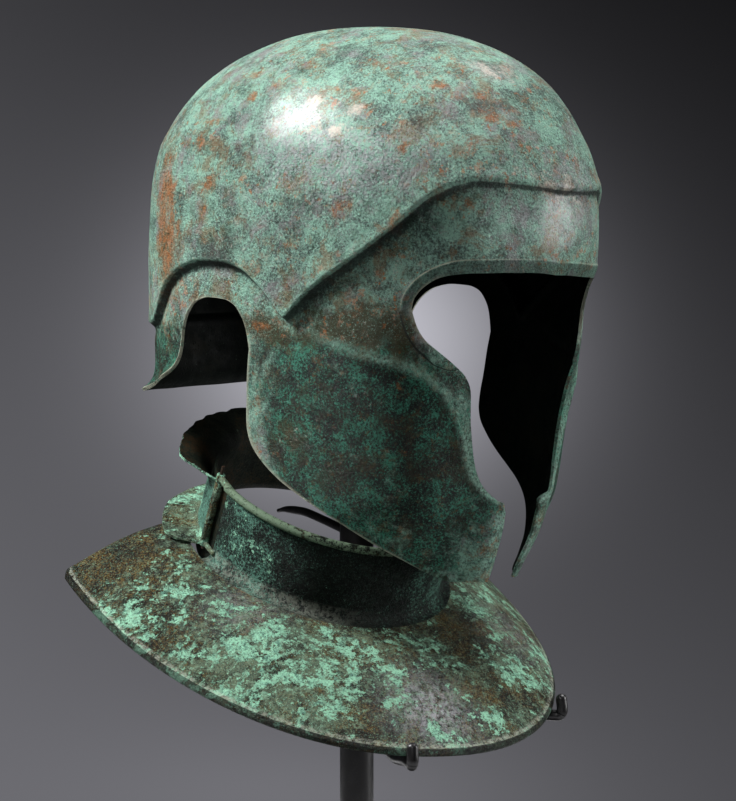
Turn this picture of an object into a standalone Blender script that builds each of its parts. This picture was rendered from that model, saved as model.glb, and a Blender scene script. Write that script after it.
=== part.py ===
"""A bronze helmet and its hinged gorget on a plain display stand, as solid parts in metres."""
import math

import bmesh
import bpy
import numpy as np
from mathutils import Matrix, Vector

# Helmet: the wearer faces -Y, their right hand is -X.
HELMET_LENGTH = 0.238
HELMET_WIDTH = 0.182
HELMET_HEIGHT = 0.2605
HELMET_SHEET = 0.0015
PLAN_POWER = 2.1
FLARE_REACH = 0.0075
FLARE_HEIGHT = 0.009
RIM_BAND_WIDTH = 0.0055
RIM_BAND_RAISE = 0.0007
CHEEK_SWELL = 0.0012
SAG = 0.005

# The helmet's lowest point above the floor, and the post's place under the crown.
HELMET_LIFT = 0.190
HELMET_FORWARD = 0.010

# Gorget, in its own frame: the middle of the collar's foot is the origin.
COLLAR_HALF_WIDTH = 0.060
COLLAR_HALF_DEPTH = 0.065
COLLAR_HEIGHT = 0.0415
BRIM_HALF_WIDTH = 0.1205
BRIM_FRONT = 0.151
BRIM_TIP_BACK = 0.0225
BRIM_TIP_DROP = 0.0255
BRIM_FRONT_DROP = 0.0185
BRIM_POWER = 2.2
GORGET_SHEET = 0.0012
COLLAR_ROLL = 0.0020
BRIM_ROLL = 0.0010
COLLAR_FILLET = 0.006
GORGET_TURN = (-21.0, 22.0, 5.0)
GORGET_PLACE = (-0.0022, 0.0345, 0.0006)
WALL_END = 4.5
BRIM_END = -31.0
BRIM_TIP_TURN = 3.0
BRIM_TIP_CURL = 0.008
KNUCKLE_RADIUS = 0.0021
PIN_RADIUS = 0.0008
PIN_GAP = 0.0003
HINGE_SIDE = 0.0612
HINGE_BACK = 0.0050
# (low, high) of the front plate's two knuckles on each side.
KNUCKLES = ((0.0030, 0.0060), (COLLAR_HEIGHT - 0.0040, COLLAR_HEIGHT + 0.0003))
STRAP_HALF = 0.0010
STRAP_START = -0.0076
STRAP_INSET = 0.0006
EYE_SIDE = HINGE_SIDE + 0.0020
EYE_BACK = -0.0028
EYE_RADIUS = 0.0024
FLANGE_WIDTH = 0.018
FLANGE_ROUND = 0.012
# (outward, up) down the back plate's lip: plain at its ends, wide at the nape.
LIP_PLAIN = ((0.0009, 0.0372), (0.0004, 0.0355), (0.0, 0.0330), (0.0, 0.0300))
LIP_WIDE = ((0.0185, 0.0410), (0.0115, 0.0400), (0.0050, 0.0370), (0.0010, 0.0320))
# (share of the width, height) along the back plate's foot flange.
FLANGE_LEVELS = ((0.07, 0.0044), (0.25, 0.0026), (0.60, 0.0018), (1.0, 0.0008))

# Stand.
POST_RADIUS = 0.0083
BASE_SIDE = 0.190
BASE_THICK = 0.018
REST_SHEET = 0.003
REST_GAP = 0.0018
HUB_RADIUS = 0.0125
HUB_HEIGHT = 0.012
HUB_DROP = 0.070
HOOK_UNDER = 0.0054
HOOK_RADIUS = 0.0027
HOOK_TURNS = (96.0, 46.5)
# Points of the strap behind the post, measured from the helmet's lowest point.
REAR_STRAP = (
    (0.0, 0.0, 0.0130), (0.0100, 0.0300, 0.0170), (0.0160, 0.0520, 0.0195),
    (0.0195, 0.0660, 0.0190), (0.0215, 0.0740, 0.0175),
)
REAR_STRAP_RADIUS = 0.0019

# (height share, front share of length, half-width share of width, back share of length)
SECTIONS = (
    (0.000, 0.345, 0.363, 0.471),
    (0.077, 0.370, 0.407, 0.475),
    (0.154, 0.389, 0.434, 0.483),
    (0.230, 0.401, 0.453, 0.492),
    (0.307, 0.414, 0.467, 0.498),
    (0.384, 0.433, 0.478, 0.502),
    (0.461, 0.458, 0.489, 0.504),
    (0.537, 0.479, 0.497, 0.504),
    (0.614, 0.492, 0.500, 0.502),
    (0.691, 0.496, 0.497, 0.496),
    (0.768, 0.477, 0.481, 0.479),
    (0.825, 0.445, 0.448, 0.447),
    (0.883, 0.397, 0.393, 0.395),
    (0.929, 0.332, 0.324, 0.324),
    (0.967, 0.244, 0.234, 0.229),
    (0.990, 0.147, 0.143, 0.134),
    (1.000, 0.000, 0.000, 0.000),
)

# (angle from the front in degrees, height share, angle at the raised line): the brow edge,
# then the back of the eye.
BROW_EDGE = (
    (0, 0.563, 0), (6, 0.565, 6), (13, 0.566, 12.5), (21, 0.567, 20), (28, 0.566, 26.5),
    (33.5, 0.563, 31.5), (37.5, 0.557, 35.5), (40.5, 0.545, 38.7), (42.6, 0.530, 41.3),
    (43.8, 0.514, 43.4), (43.6, 0.499, 45.3),
)
# Angles of the columns where the cheek hangs from the crown.
CHEEK_ROOT = (47.6, 49.2, 55, 61, 67, 72, 76.6, 81, 85, 88.5)
CHEEK_ROOT_BACK = 0.422
# (angle, height share, angle at the raised line): ear arch, then the neck edge.
EAR_EDGE = (
    (88.8, 0.438, 90.5), (89.5, 0.461, 93), (91.2, 0.487, 95.5), (93, 0.501, 98),
    (96, 0.509, 100.5), (101.2, 0.511, 103), (106.1, 0.504, 105.5), (109, 0.491, 108),
    (111.3, 0.472, 110.5), (112.8, 0.449, 113), (113.8, 0.419, 115.5), (115.2, 0.392, 118),
    (117.5, 0.372, 121), (120.4, 0.359, 124), (125, 0.345, 128), (132, 0.334, 134),
    (145, 0.324, 146), (160, 0.318, 160), (172, 0.315, 172), (180, 0.315, 180),
)
# (rear angle, rear height share, front angle, front height share) down the cheek.
CHEEK_ROWS = (
    (89.3, 0.392, 42.1, 0.469), (89.9, 0.361, 39.6, 0.446), (90.3, 0.330, 35.0, 0.423),
    (90.8, 0.299, 30.1, 0.400), (91.0, 0.269, 26.3, 0.379), (90.3, 0.236, 24.1, 0.353),
    (87.5, 0.202, 23.0, 0.303), (82.0, 0.167, 22.0, 0.266), (76.0, 0.140, 20.7, 0.227),
    (69.5, 0.113, 18.4, 0.193), (62.8, 0.084, 15.0, 0.171), (57.0, 0.061, 10.4, 0.155),
    (51.0, 0.042, 7.1, 0.147), (44.0, 0.023, 6.3, 0.111), (37.0, 0.010, 6.6, 0.065),
    (31.0, 0.003, 7.1, 0.027), (26.0, -0.001, 8.0, 0.002),
)
# (angle, height share, height of the step in metres) of the crown's raised line.
CROWN_LINE = (
    (0, 0.706, 0.0022), (10, 0.710, 0.0022), (20, 0.716, 0.0022), (29, 0.720, 0.0024),
    (35, 0.712, 0.0026), (42, 0.689, 0.0030), (50, 0.637, 0.0034), (60, 0.581, 0.0038),
    (68, 0.538, 0.0041), (73, 0.504, 0.0043), (76.6, 0.478, 0.0044), (80, 0.506, 0.0040),
    (85, 0.540, 0.0034), (90, 0.564, 0.0030), (96, 0.575, 0.0030), (103, 0.575, 0.0030),
    (109, 0.566, 0.0030), (115, 0.548, 0.0030), (120, 0.524, 0.0030), (125, 0.489, 0.0030),
    (131, 0.455, 0.0028), (138, 0.446, 0.0026), (150, 0.444, 0.0026), (180, 0.444, 0.0026),
)
# (angle, height share) of the soft step that runs down the cheek.
CHEEK_LINE = (
    (72, 0.461), (60, 0.428), (53, 0.416), (45, 0.401), (38, 0.381), (32, 0.352),
    (27.6, 0.312), (25, 0.267), (23.5, 0.231), (21.8, 0.203), (17.8, 0.175), (12.6, 0.157),
)
STEP_HALF = 0.0025
SHARP_ANGLE = 38.0

PATINA = (0.18, 0.38, 0.32, 1.0)
BROWN_PATINA = (0.20, 0.24, 0.17, 1.0)
PIN_BROWN = (0.25, 0.14, 0.08, 1.0)
STAND_BLACK = (0.02, 0.02, 0.02, 1.0)


def monotone(xs, ys, at):
    """Values of a smooth curve through the points (xs, ys) that never overshoots them."""
    xs, ys, at = (np.asarray(v, float) for v in (xs, ys, at))
    gap = np.diff(xs)
    slope = np.diff(ys) / gap
    tangent = np.zeros(len(xs))
    same = slope[:-1] * slope[1:] > 0
    weight_a, weight_b = 2 * gap[1:] + gap[:-1], gap[1:] + 2 * gap[:-1]
    safe_a = np.where(same, slope[:-1], 1.0)
    safe_b = np.where(same, slope[1:], 1.0)
    inner = (weight_a + weight_b) / (weight_a / safe_a + weight_b / safe_b)
    tangent[1:-1] = np.where(same, inner, 0.0)
    tangent[0], tangent[-1] = slope[0], slope[-1]
    at = np.clip(at, xs[0], xs[-1])
    k = np.clip(np.searchsorted(xs, at, side="right") - 1, 0, len(xs) - 2)
    t = (at - xs[k]) / gap[k]
    return (
        ys[k] * (2 * t**3 - 3 * t**2 + 1)
        + gap[k] * tangent[k] * (t**3 - 2 * t**2 + t)
        + ys[k + 1] * (3 * t**2 - 2 * t**3)
        + gap[k] * tangent[k + 1] * (t**3 - t**2)
    )


def smooth(value):
    value = np.clip(value, 0.0, 1.0)
    return value * value * (3 - 2 * value)


SECTION_TABLE = np.array(SECTIONS)


def radii(height):
    """Front, side and back radii of the helmet's level section at a height in metres."""
    share = np.clip(np.asarray(height, float) / HELMET_HEIGHT, 0, 1)
    front, side, back = (
        np.sqrt(np.maximum(monotone(SECTION_TABLE[:, 0], SECTION_TABLE[:, k] ** 2, share), 0))
        for k in (1, 2, 3)
    )
    return front * HELMET_LENGTH, side * HELMET_WIDTH, back * HELMET_LENGTH


def plain_point(angle, height):
    """The plain helmet surface at an angle in degrees from the front and a height."""
    turn = np.radians(np.asarray(angle, float))
    height = np.asarray(height, float)
    front, side, back = radii(height)
    cos, sin = np.cos(turn), np.sin(turn)
    reach = (np.abs(cos) ** PLAN_POWER + np.abs(sin) ** PLAN_POWER) ** (-1 / PLAN_POWER)
    y = np.where(cos > 0, -front * cos, -back * cos) * reach
    x = side * sin * reach
    x = np.where(np.abs(np.sin(turn)) < 1e-6, 0.0, x)
    return np.stack(np.broadcast_arrays(x, y, height), axis=-1)


def outward(angle, height):
    """The plain surface's unit normal by small steps, kept level near the apex."""
    here = plain_point(angle, height)
    low = plain_point(angle, np.minimum(height, HELMET_HEIGHT * 0.985) - 0.0015)
    mid = plain_point(angle, np.minimum(height, HELMET_HEIGHT * 0.985))
    side = plain_point(np.asarray(angle, float) + 0.6, height) - plain_point(
        np.asarray(angle, float) - 0.6, height
    )
    normal = np.cross(side, mid - low)
    length = np.linalg.norm(normal, axis=-1, keepdims=True)
    level = here * np.array([1.0, 1.0, 0.0])
    level_length = np.maximum(np.linalg.norm(level, axis=-1, keepdims=True), 1e-9)
    good = length > 1e-12
    return np.where(good, normal / np.where(good, length, 1.0), level / level_length)


def crown_relief(angle, height):
    """How far the crown's raised line pushes the surface out or in."""
    table = np.array(CROWN_LINE)
    line = monotone(table[:, 0], table[:, 1], angle) * HELMET_HEIGHT
    step = monotone(table[:, 0], table[:, 2], angle)
    above = height - line
    return step * (smooth((above + STEP_HALF) / (2 * STEP_HALF)) - 0.5) * np.exp(
        -np.abs(above) / 0.028
    )


def curve_distance(angle, height, table):
    """Signed distance on the unrolled surface to a line: positive towards the rear."""
    scale = HELMET_WIDTH / 2 * math.pi / 180
    line = np.array(table, float) * [scale, HELMET_HEIGHT]
    spot = np.stack(np.broadcast_arrays(np.asarray(angle) * scale, height), axis=-1)
    best = np.full(spot.shape[:-1], 1e9)
    signed = np.zeros(spot.shape[:-1])
    for start, end in zip(line[:-1], line[1:]):
        along = end - start
        t = np.clip(((spot - start) @ along) / (along @ along), 0, 1)
        off = spot - (start + t[..., None] * along)
        far = np.linalg.norm(off, axis=-1)
        side = along[0] * off[..., 1] - along[1] * off[..., 0]
        closer = far < best
        signed = np.where(closer, np.sign(side) * far, signed)
        best = np.where(closer, far, best)
    return signed


def cheek_relief(angle, height):
    """The soft swelling behind the line that runs down the cheek."""
    gap = curve_distance(angle, height, CHEEK_LINE)
    fade = smooth((0.475 * HELMET_HEIGHT - height) / 0.02)
    return CHEEK_SWELL * fade * smooth(gap / 0.005 + 0.5) * np.exp(-np.maximum(gap, 0) / 0.03)


def helmet_point(angle, height, extra=0.0):
    """A point of the finished outer surface, with its relief and the neck edge's flare."""
    angle, height = np.broadcast_arrays(np.asarray(angle, float), np.asarray(height, float))
    ear = np.array([(a, h) for a, h, _ in EAR_EDGE])
    edge = monotone(ear[:, 0], ear[:, 1], angle) * HELMET_HEIGHT
    flare = FLARE_REACH * smooth((angle - 113) / 8) * np.exp(
        -np.maximum(height - edge, 0) / (FLARE_HEIGHT * 0.4)
    )
    push = crown_relief(angle, height) + cheek_relief(angle, height) + flare + extra
    push = push * smooth((HELMET_HEIGHT - height) / 0.01 + 0.05)
    point = plain_point(angle, height) + outward(angle, height) * push[..., None]
    point[..., 0] = np.where(np.isin(angle, (0.0, 180.0)), 0.0, point[..., 0])
    return point


def material(name, colour, metallic, roughness):
    made = bpy.data.materials.new(name)
    made.use_nodes = True
    shader = made.node_tree.nodes["Principled BSDF"]
    shader.inputs["Base Color"].default_value = colour
    shader.inputs["Metallic"].default_value = metallic
    shader.inputs["Roughness"].default_value = roughness
    made.diffuse_color = colour
    return made


def object_from(name, vertices, faces, home, look=None):
    mesh = bpy.data.meshes.new(name)
    mesh.from_pydata([tuple(map(float, v)) for v in vertices], [], faces)
    mesh.validate()
    made = bpy.data.objects.new(name, mesh)
    home.objects.link(made)
    if look:
        mesh.materials.append(look)
    return made


def grid_faces(rows, columns, closed=False, offset=0, skip=None):
    """Quads of a grid of rows by columns; skip(row, column) leaves one out."""
    faces = []
    last = columns if closed else columns - 1
    for r in range(rows - 1):
        for c in range(last):
            if skip and skip(r, c):
                continue
            n = (c + 1) % columns
            faces.append(
                (offset + r * columns + c, offset + r * columns + n,
                 offset + (r + 1) * columns + n, offset + (r + 1) * columns + c)
            )
    return faces


def weld(made, reach=1e-6):
    work = bmesh.new()
    work.from_mesh(made.data)
    bmesh.ops.remove_doubles(work, verts=work.verts, dist=reach)
    bmesh.ops.dissolve_degenerate(work, edges=work.edges, dist=1e-7)
    loose = [v for v in work.verts if not v.link_faces]
    bmesh.ops.delete(work, geom=loose, context="VERTS")
    bmesh.ops.recalc_face_normals(work, faces=work.faces)
    work.to_mesh(made.data)
    work.free()


def apply_modifiers(made):
    graph = bpy.context.evaluated_depsgraph_get()
    graph.update()
    done = bpy.data.meshes.new_from_object(made.evaluated_get(graph))
    old = made.data
    made.modifiers.clear()
    made.data = done
    bpy.data.meshes.remove(old)
    done.name = made.name


def combine(target, other, how="UNION"):
    step = target.modifiers.new("cut", "BOOLEAN")
    step.operation = how
    step.solver = "EXACT"
    step.object = other
    apply_modifiers(target)
    bpy.data.objects.remove(other)
    weld(target)


def move(made, matrix):
    made.data.transform(matrix)
    made.data.update()


def helmet_matrix():
    return Matrix.Translation((0.0, -HELMET_FORWARD, HELMET_LIFT))


def gorget_matrix():
    turn, pitch, roll = (math.radians(v) for v in GORGET_TURN)
    spin = Matrix.Rotation(turn, 4, "Z") @ Matrix.Rotation(pitch, 4, "X")
    spin = spin @ Matrix.Rotation(roll, 4, "Y")
    return helmet_matrix() @ Matrix.Translation(GORGET_PLACE) @ spin


def upper_grid():
    """Points of the crown from its lower edge to the apex, one column per edge point."""
    root_front = BROW_EDGE[-1]
    span = CHEEK_ROOT[-1] - root_front[0]
    columns = list(BROW_EDGE)
    columns += [
        (a, root_front[1] + (CHEEK_ROOT_BACK - root_front[1]) * (a - root_front[0]) / span, a)
        for a in CHEEK_ROOT
    ]
    columns += list(EAR_EDGE)
    table = np.array(columns)
    edge_angle, edge_height, line_angle = table[:, 0], table[:, 1] * HELMET_HEIGHT, table[:, 2]
    line = np.array(CROWN_LINE)
    line_height = monotone(line[:, 0], line[:, 1], line_angle) * HELMET_HEIGHT
    low, high = line_height - STEP_HALF, line_height + STEP_HALF
    angles, heights, extras = [], [], []
    band = np.where(edge_angle < 44.5, RIM_BAND_RAISE, 0.0)
    shares = [0, 0.0055, 0.0072]
    for reach in shares:
        share = reach / (low - edge_height)
        angles.append(edge_angle + (line_angle - edge_angle) * share)
        heights.append(edge_height + reach)
        extras.append(band if reach < 0.006 else band * 0)
    for t in (0.33, 0.66, 1.0):
        start = edge_height + shares[-1]
        share = (start + (low - start) * t - edge_height) / (low - edge_height)
        angles.append(edge_angle + (line_angle - edge_angle) * share)
        heights.append(start + (low - start) * t)
        extras.append(band * 0)
    for reach in (0.0, 0.007):
        angles.append(line_angle)
        heights.append(high + reach)
        extras.append(band * 0)
    start = high + 0.007
    for t in (0.18, 0.37, 0.56, 0.72, 0.84, 0.925, 0.975):
        angles.append(line_angle)
        heights.append(start + (HELMET_HEIGHT - start) * t)
        extras.append(band * 0)
    return np.array(angles), np.array(heights), np.array(extras)


def cheek_grid():
    """Points of the cheek from its root to its tip, from the front edge to the rear edge."""
    front_a, front_h = BROW_EDGE[-1][:2]
    rows = [(CHEEK_ROOT[-1], CHEEK_ROOT_BACK, front_a, front_h)] + list(CHEEK_ROWS)
    root = np.array((front_a,) + CHEEK_ROOT)
    even = (root - root[0]) / (root[-1] - root[0])
    angles, heights, extras = [], [], []
    for k, (rear_a, rear_h, edge_a, edge_h) in enumerate(rows):
        ends = plain_point([edge_a, (edge_a + rear_a) / 2, rear_a],
                           np.array([edge_h, (edge_h + rear_h) / 2, rear_h]) * HELMET_HEIGHT)
        length = np.linalg.norm(ends[1] - ends[0]) + np.linalg.norm(ends[2] - ends[1])
        share = even.copy()
        if k:
            first = min(RIM_BAND_WIDTH / length, 0.3)
            second = min(0.0072 / length, 0.4)
            share[1], share[2] = first, second
            share[3:] = second + (1 - second) * (even[3:] - even[2]) / (1 - even[2])
        angles.append(edge_a + (rear_a - edge_a) * share)
        heights.append((edge_h + (rear_h - edge_h) * share) * HELMET_HEIGHT)
        raised = np.zeros(len(share))
        raised[:2] = RIM_BAND_RAISE
        extras.append(raised)
    return np.array(angles), np.array(heights), np.array(extras)


def sagged(points):
    """The points with the helmet's left front bent a little down, as the real one is."""
    x, y, z = points[:, 0], points[:, 1], points[:, 2]
    side = smooth((x + 0.020) / 0.070) * smooth(-y / 0.060)
    level = smooth((z - 0.060) / 0.070) * smooth((0.245 - z) / 0.060)
    return points - np.stack([0 * x, 0 * x, SAG * side * level], axis=1)


def build_helmet(home, look):
    angle, height, extra = upper_grid()
    upper = helmet_point(angle, height, extra)
    rows, columns = angle.shape
    vertices = list(upper.reshape(-1, 3))
    faces = grid_faces(rows, columns)
    vertices.append((0.0, plain_point(0, HELMET_HEIGHT)[1], HELMET_HEIGHT))
    top = (rows - 1) * columns
    faces += [(top + c, top + c + 1, len(vertices) - 1) for c in range(columns - 1)]
    angle, height, extra = cheek_grid()
    cheek = helmet_point(angle, height, extra)
    first = len(BROW_EDGE) - 1
    count = cheek.shape[1]
    cheek[0] = upper[0, first:first + count]
    faces += grid_faces(cheek.shape[0], count, offset=len(vertices))
    vertices += list(cheek.reshape(-1, 3))
    shell = object_from("helmet_shell", vertices, faces, home, look)
    weld(shell, 2e-5)
    mirror = shell.modifiers.new("other half", "MIRROR")
    mirror.use_axis[0] = True
    mirror.merge_threshold = 0.0001
    apply_modifiers(shell)
    weld(shell)
    bent = sagged(np.array([v.co for v in shell.data.vertices]))
    shell.data.vertices.foreach_set("co", bent.ravel())
    shell.data.update()
    if sum(p.normal.z * p.area for p in shell.data.polygons) < 0:
        shell.data.flip_normals()
    sheet = shell.modifiers.new("sheet", "SOLIDIFY")
    sheet.thickness = HELMET_SHEET
    sheet.offset = -1
    apply_modifiers(shell)
    weld(shell)
    move(shell, helmet_matrix())
    return shell


def foot(angle):
    """A point of the collar's foot and its outward direction, at an angle in degrees."""
    turn = np.radians(angle)
    point = np.stack([COLLAR_HALF_WIDTH * np.cos(turn), -COLLAR_HALF_DEPTH * np.sin(turn)], -1)
    way = np.stack([np.cos(turn) / COLLAR_HALF_WIDTH, -np.sin(turn) / COLLAR_HALF_DEPTH], -1)
    return point, way / np.linalg.norm(way, axis=-1, keepdims=True)


def brim_edge(turn):
    """A point of the brim's outline; past 0 and 180 degrees its tips curl in."""
    past = np.maximum(np.maximum(-np.asarray(turn, float), np.asarray(turn, float) - 180), 0)
    turn = np.radians(turn)
    cos, sin = np.cos(turn), np.sin(turn)
    power = 2 / BRIM_POWER
    curl = BRIM_TIP_CURL * (past / BRIM_TIP_TURN) ** 2
    x = np.sign(cos) * (BRIM_HALF_WIDTH * np.abs(cos) ** power - curl)
    y = BRIM_TIP_BACK - (BRIM_FRONT + BRIM_TIP_BACK) * np.sign(sin) * np.abs(sin) ** power
    z = -(BRIM_TIP_DROP + (BRIM_FRONT_DROP - BRIM_TIP_DROP) * sin)
    return np.stack([x, y, z], -1)


def brim_drop(share):
    """How far down the brim is, as a share of its drop, at a share of its width."""
    return 0.40 * share + 0.60 * share**2


def front_grid(angles):
    """Rows of the front plate's inner face from the collar's roll to the brim's roll."""
    base, way = foot(angles)
    share = (angles - BRIM_END) / (180 - 2 * BRIM_END)
    ends = brim_edge(share * (180 + 2 * BRIM_TIP_TURN) - BRIM_TIP_TURN)
    rows = []

    def ring(reach, z):
        spot = base + way * reach
        rows.append(np.column_stack([spot, np.full(len(angles), z)]))

    top = COLLAR_HEIGHT - COLLAR_ROLL
    for turn in (-70, -20, 30, 80, 130, 180):
        bend = math.radians(turn)
        ring(COLLAR_ROLL * (1 + math.cos(bend)), top + COLLAR_ROLL * math.sin(bend))
    ring(0.0, COLLAR_HEIGHT * 0.55)
    for turn in (180, 225, 270):
        bend = math.radians(turn)
        ring(COLLAR_FILLET * (1 + math.cos(bend)), COLLAR_FILLET * (1 + math.sin(bend)))
    wall_rows = len(rows) - 1
    start = rows[-1]
    flat = ends[:, :2] - start[:, :2]
    run = np.linalg.norm(flat, axis=1, keepdims=True)
    aim = flat / run
    run = run - BRIM_ROLL - GORGET_SHEET
    for share in (0.18, 0.40, 0.62, 0.82, 1.0):
        spot = start[:, :2] + aim * run * share
        drop = ends[:, 2] * brim_drop(share)
        rows.append(np.column_stack([spot, drop]))
    edge = rows[-1]
    for turn in (50, 10, -40, -90):
        bend = math.radians(turn)
        spot = edge[:, :2] + aim * BRIM_ROLL * math.cos(bend)
        rows.append(np.column_stack([spot, edge[:, 2] - BRIM_ROLL * (1 - math.sin(bend))]))
    return rows, wall_rows


def tube(name, place, radius, low, high, home, sides=16):
    """An upright cylinder in the gorget's frame."""
    bpy.ops.mesh.primitive_cylinder_add(
        vertices=sides, radius=radius, depth=high - low,
        location=(place[0], place[1], (low + high) / 2),
    )
    return take_active(name, home)


def take_active(name, home):
    made = bpy.context.active_object
    made.name = made.data.name = name
    for group in list(made.users_collection):
        group.objects.unlink(made)
    home.objects.link(made)
    made.data.transform(made.matrix_world)
    made.matrix_world = Matrix.Identity(4)
    return made


def block(name, low, high, home):
    bpy.ops.mesh.primitive_cube_add(size=1.0)
    made = take_active(name, home)
    low, high = Vector(low), Vector(high)
    size = high - low
    move(made, Matrix.Translation((low + high) / 2) @ Matrix.Diagonal((*size, 1.0)))
    return made


def build_gorget_front(home, cutters, look):
    inner = np.linspace(WALL_END, 180 - WALL_END, 25)
    outer = np.linspace(BRIM_END, WALL_END, 4)[:-1]
    angles = np.concatenate([outer, inner, 180 - outer[::-1]])
    rows, wall_rows = front_grid(angles)
    count, extra = len(angles), len(outer)
    faces = grid_faces(
        len(rows), count,
        skip=lambda r, c: r < wall_rows and not extra <= c < count - 1 - extra,
    )
    plate = object_from("gorget_front", np.concatenate(rows), faces, home, look)
    weld(plate)
    face = max(plate.data.polygons, key=lambda p: p.area)
    if face.normal.z < 0:
        plate.data.flip_normals()
    sheet = plate.modifiers.new("sheet", "SOLIDIFY")
    sheet.thickness = GORGET_SHEET
    sheet.offset = 1
    apply_modifiers(plate)
    weld(plate)
    for side in (-1, 1):
        x = side * HINGE_SIDE
        for low, high in KNUCKLES:
            knuckle = tube("knuckle", (x, HINGE_BACK), KNUCKLE_RADIUS, low, high, cutters)
            combine(knuckle, block(
                "strap", (x - STRAP_HALF, STRAP_START, low + STRAP_INSET),
                (x + STRAP_HALF, HINGE_BACK - PIN_RADIUS, high - STRAP_INSET), cutters))
            combine(plate, knuckle)
            hole = tube("hole", (x, HINGE_BACK), PIN_RADIUS + PIN_GAP,
                        low - 0.002, high + 0.002, cutters, 12)
            combine(plate, hole, "DIFFERENCE")
        eye = tube("eye", (side * EYE_SIDE, EYE_BACK), EYE_RADIUS, -0.006, 0.0024, cutters, 12)
        combine(plate, eye, "DIFFERENCE")
    move(plate, gorget_matrix())
    return plate


def build_gorget_back(home, cutters, look):
    ends = np.array([187.0, 188.0, 190.0, 193.5, 198.0])
    angles = np.concatenate([ends, np.linspace(204.0, 336.0, 21), 540 - ends[::-1]])
    base, way = foot(angles)
    turn_in = np.minimum(angles - 187.0, 353.0 - angles)
    along = np.clip(np.radians(turn_in) * COLLAR_HALF_DEPTH / FLANGE_ROUND, 0.0, 1.0)
    width = FLANGE_WIDTH * np.maximum(np.sqrt(1 - (1 - along) ** 2), 0.03)
    droop = 0.0025 * smooth((turn_in - 28) / 20)
    swell = smooth(np.minimum(angles - 185, 355 - angles) / 16)
    rows = []
    for (near_r, near_z), (far_r, far_z) in zip(LIP_PLAIN, LIP_WIDE):
        reach = near_r + (far_r - near_r) * swell
        z = near_z + (far_z - near_z) * swell
        rows.append(np.column_stack([base + way * reach[:, None], z]))
    for z in (0.020, 0.0075):
        rows.append(np.column_stack([base, np.full(len(angles), z)]))
    for share, z in FLANGE_LEVELS:
        level = z - droop * share + 0.0010 * (1 - width / FLANGE_WIDTH) * share
        rows.append(np.column_stack([base + way * (width * share)[:, None], level]))
    plate = object_from("gorget_back", np.concatenate(rows),
                        grid_faces(len(rows), len(angles)), home, look)
    weld(plate)
    wall = max(plate.data.polygons, key=lambda p: p.center.y - abs(p.normal.z) * 9)
    if wall.normal.y < 0:
        plate.data.flip_normals()
    sheet = plate.modifiers.new("sheet", "SOLIDIFY")
    sheet.thickness = GORGET_SHEET
    sheet.offset = 1
    apply_modifiers(plate)
    weld(plate)
    for side in (-1, 1):
        place = (side * HINGE_SIDE, HINGE_BACK)
        roll = tube("roll", place, KNUCKLE_RADIUS, 0.0063, COLLAR_HEIGHT - 0.0043, cutters)
        combine(plate, roll)
        link = block("link", (min(place[0], side * 0.0598), HINGE_BACK, 0.0075),
                     (max(place[0], side * 0.0598), HINGE_BACK + 0.0045, 0.0355), cutters)
        combine(plate, link)
        bore = tube("bore", place, PIN_RADIUS + PIN_GAP, 0.0, COLLAR_HEIGHT + 0.01,
                    cutters, 12)
        combine(plate, bore, "DIFFERENCE")
        inside = inner_core(cutters)
        combine(plate, inside, "DIFFERENCE")
    move(plate, gorget_matrix())
    return plate


def inner_core(cutters):
    """The room inside the collar, which trims what stands through the wall."""
    bpy.ops.mesh.primitive_cylinder_add(vertices=96, radius=1.0, depth=0.030)
    core = take_active("core", cutters)
    move(core, Matrix.Translation((0, 0, 0.010)) @ Matrix.Diagonal(
        (COLLAR_HALF_WIDTH - 0.0002, COLLAR_HALF_DEPTH - 0.0002, 1.0, 1.0)))
    return core


def build_pin(name, side, home, look):
    low, high = 0.0012, COLLAR_HEIGHT + 0.0045
    pin = tube(name, (side * HINGE_SIDE, HINGE_BACK), PIN_RADIUS, low, high, home, 12)
    pin.data.materials.append(look)
    move(pin, gorget_matrix())
    return pin


def rod(name, points, radius, home, sides=3):
    """A round bar along a path of points."""
    curve = bpy.data.curves.new(name, "CURVE")
    curve.dimensions = "3D"
    curve.bevel_depth = radius
    curve.bevel_resolution = sides
    curve.use_fill_caps = True
    line = curve.splines.new("POLY")
    line.points.add(len(points) - 1)
    for spot, place in zip(line.points, points):
        spot.co = (*place, 1.0)
    holder = bpy.data.objects.new(name, curve)
    home.objects.link(holder)
    bpy.context.view_layer.update()
    graph = bpy.context.evaluated_depsgraph_get()
    mesh = bpy.data.meshes.new_from_object(holder.evaluated_get(graph))
    bpy.data.objects.remove(holder)
    made = bpy.data.objects.new(name, mesh)
    mesh.name = name
    home.objects.link(made)
    weld(made, 1e-6)
    return made


def build_stand(home, cutters, look):
    base = block("stand_base", (-BASE_SIDE / 2, -BASE_SIDE / 2, 0.0),
                 (BASE_SIDE / 2, BASE_SIDE / 2, BASE_THICK), home)
    edge = base.modifiers.new("edge", "BEVEL")
    edge.width = 0.0015
    edge.segments = 2
    apply_modifiers(base)
    base.data.materials.append(look)

    lift = HELMET_LIFT
    crown = float(radius_height(HELMET_FORWARD)) + lift
    post_top = crown - HELMET_SHEET - REST_GAP - REST_SHEET - 0.0012
    bpy.ops.mesh.primitive_cylinder_add(
        vertices=32, radius=POST_RADIUS, depth=post_top - BASE_THICK - 0.0003,
        location=(0, 0, (post_top + BASE_THICK + 0.0003) / 2))
    post = take_active("stand_post", home)
    post.data.materials.append(look)
    strap = rod("strap", [(x, y, lift + z) for x, y, z in REAR_STRAP],
                REAR_STRAP_RADIUS, cutters)
    combine(post, strap)

    rest = build_rest(home, look)
    cradle = build_cradle(home, cutters, look)
    return base, post, rest, cradle


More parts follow.
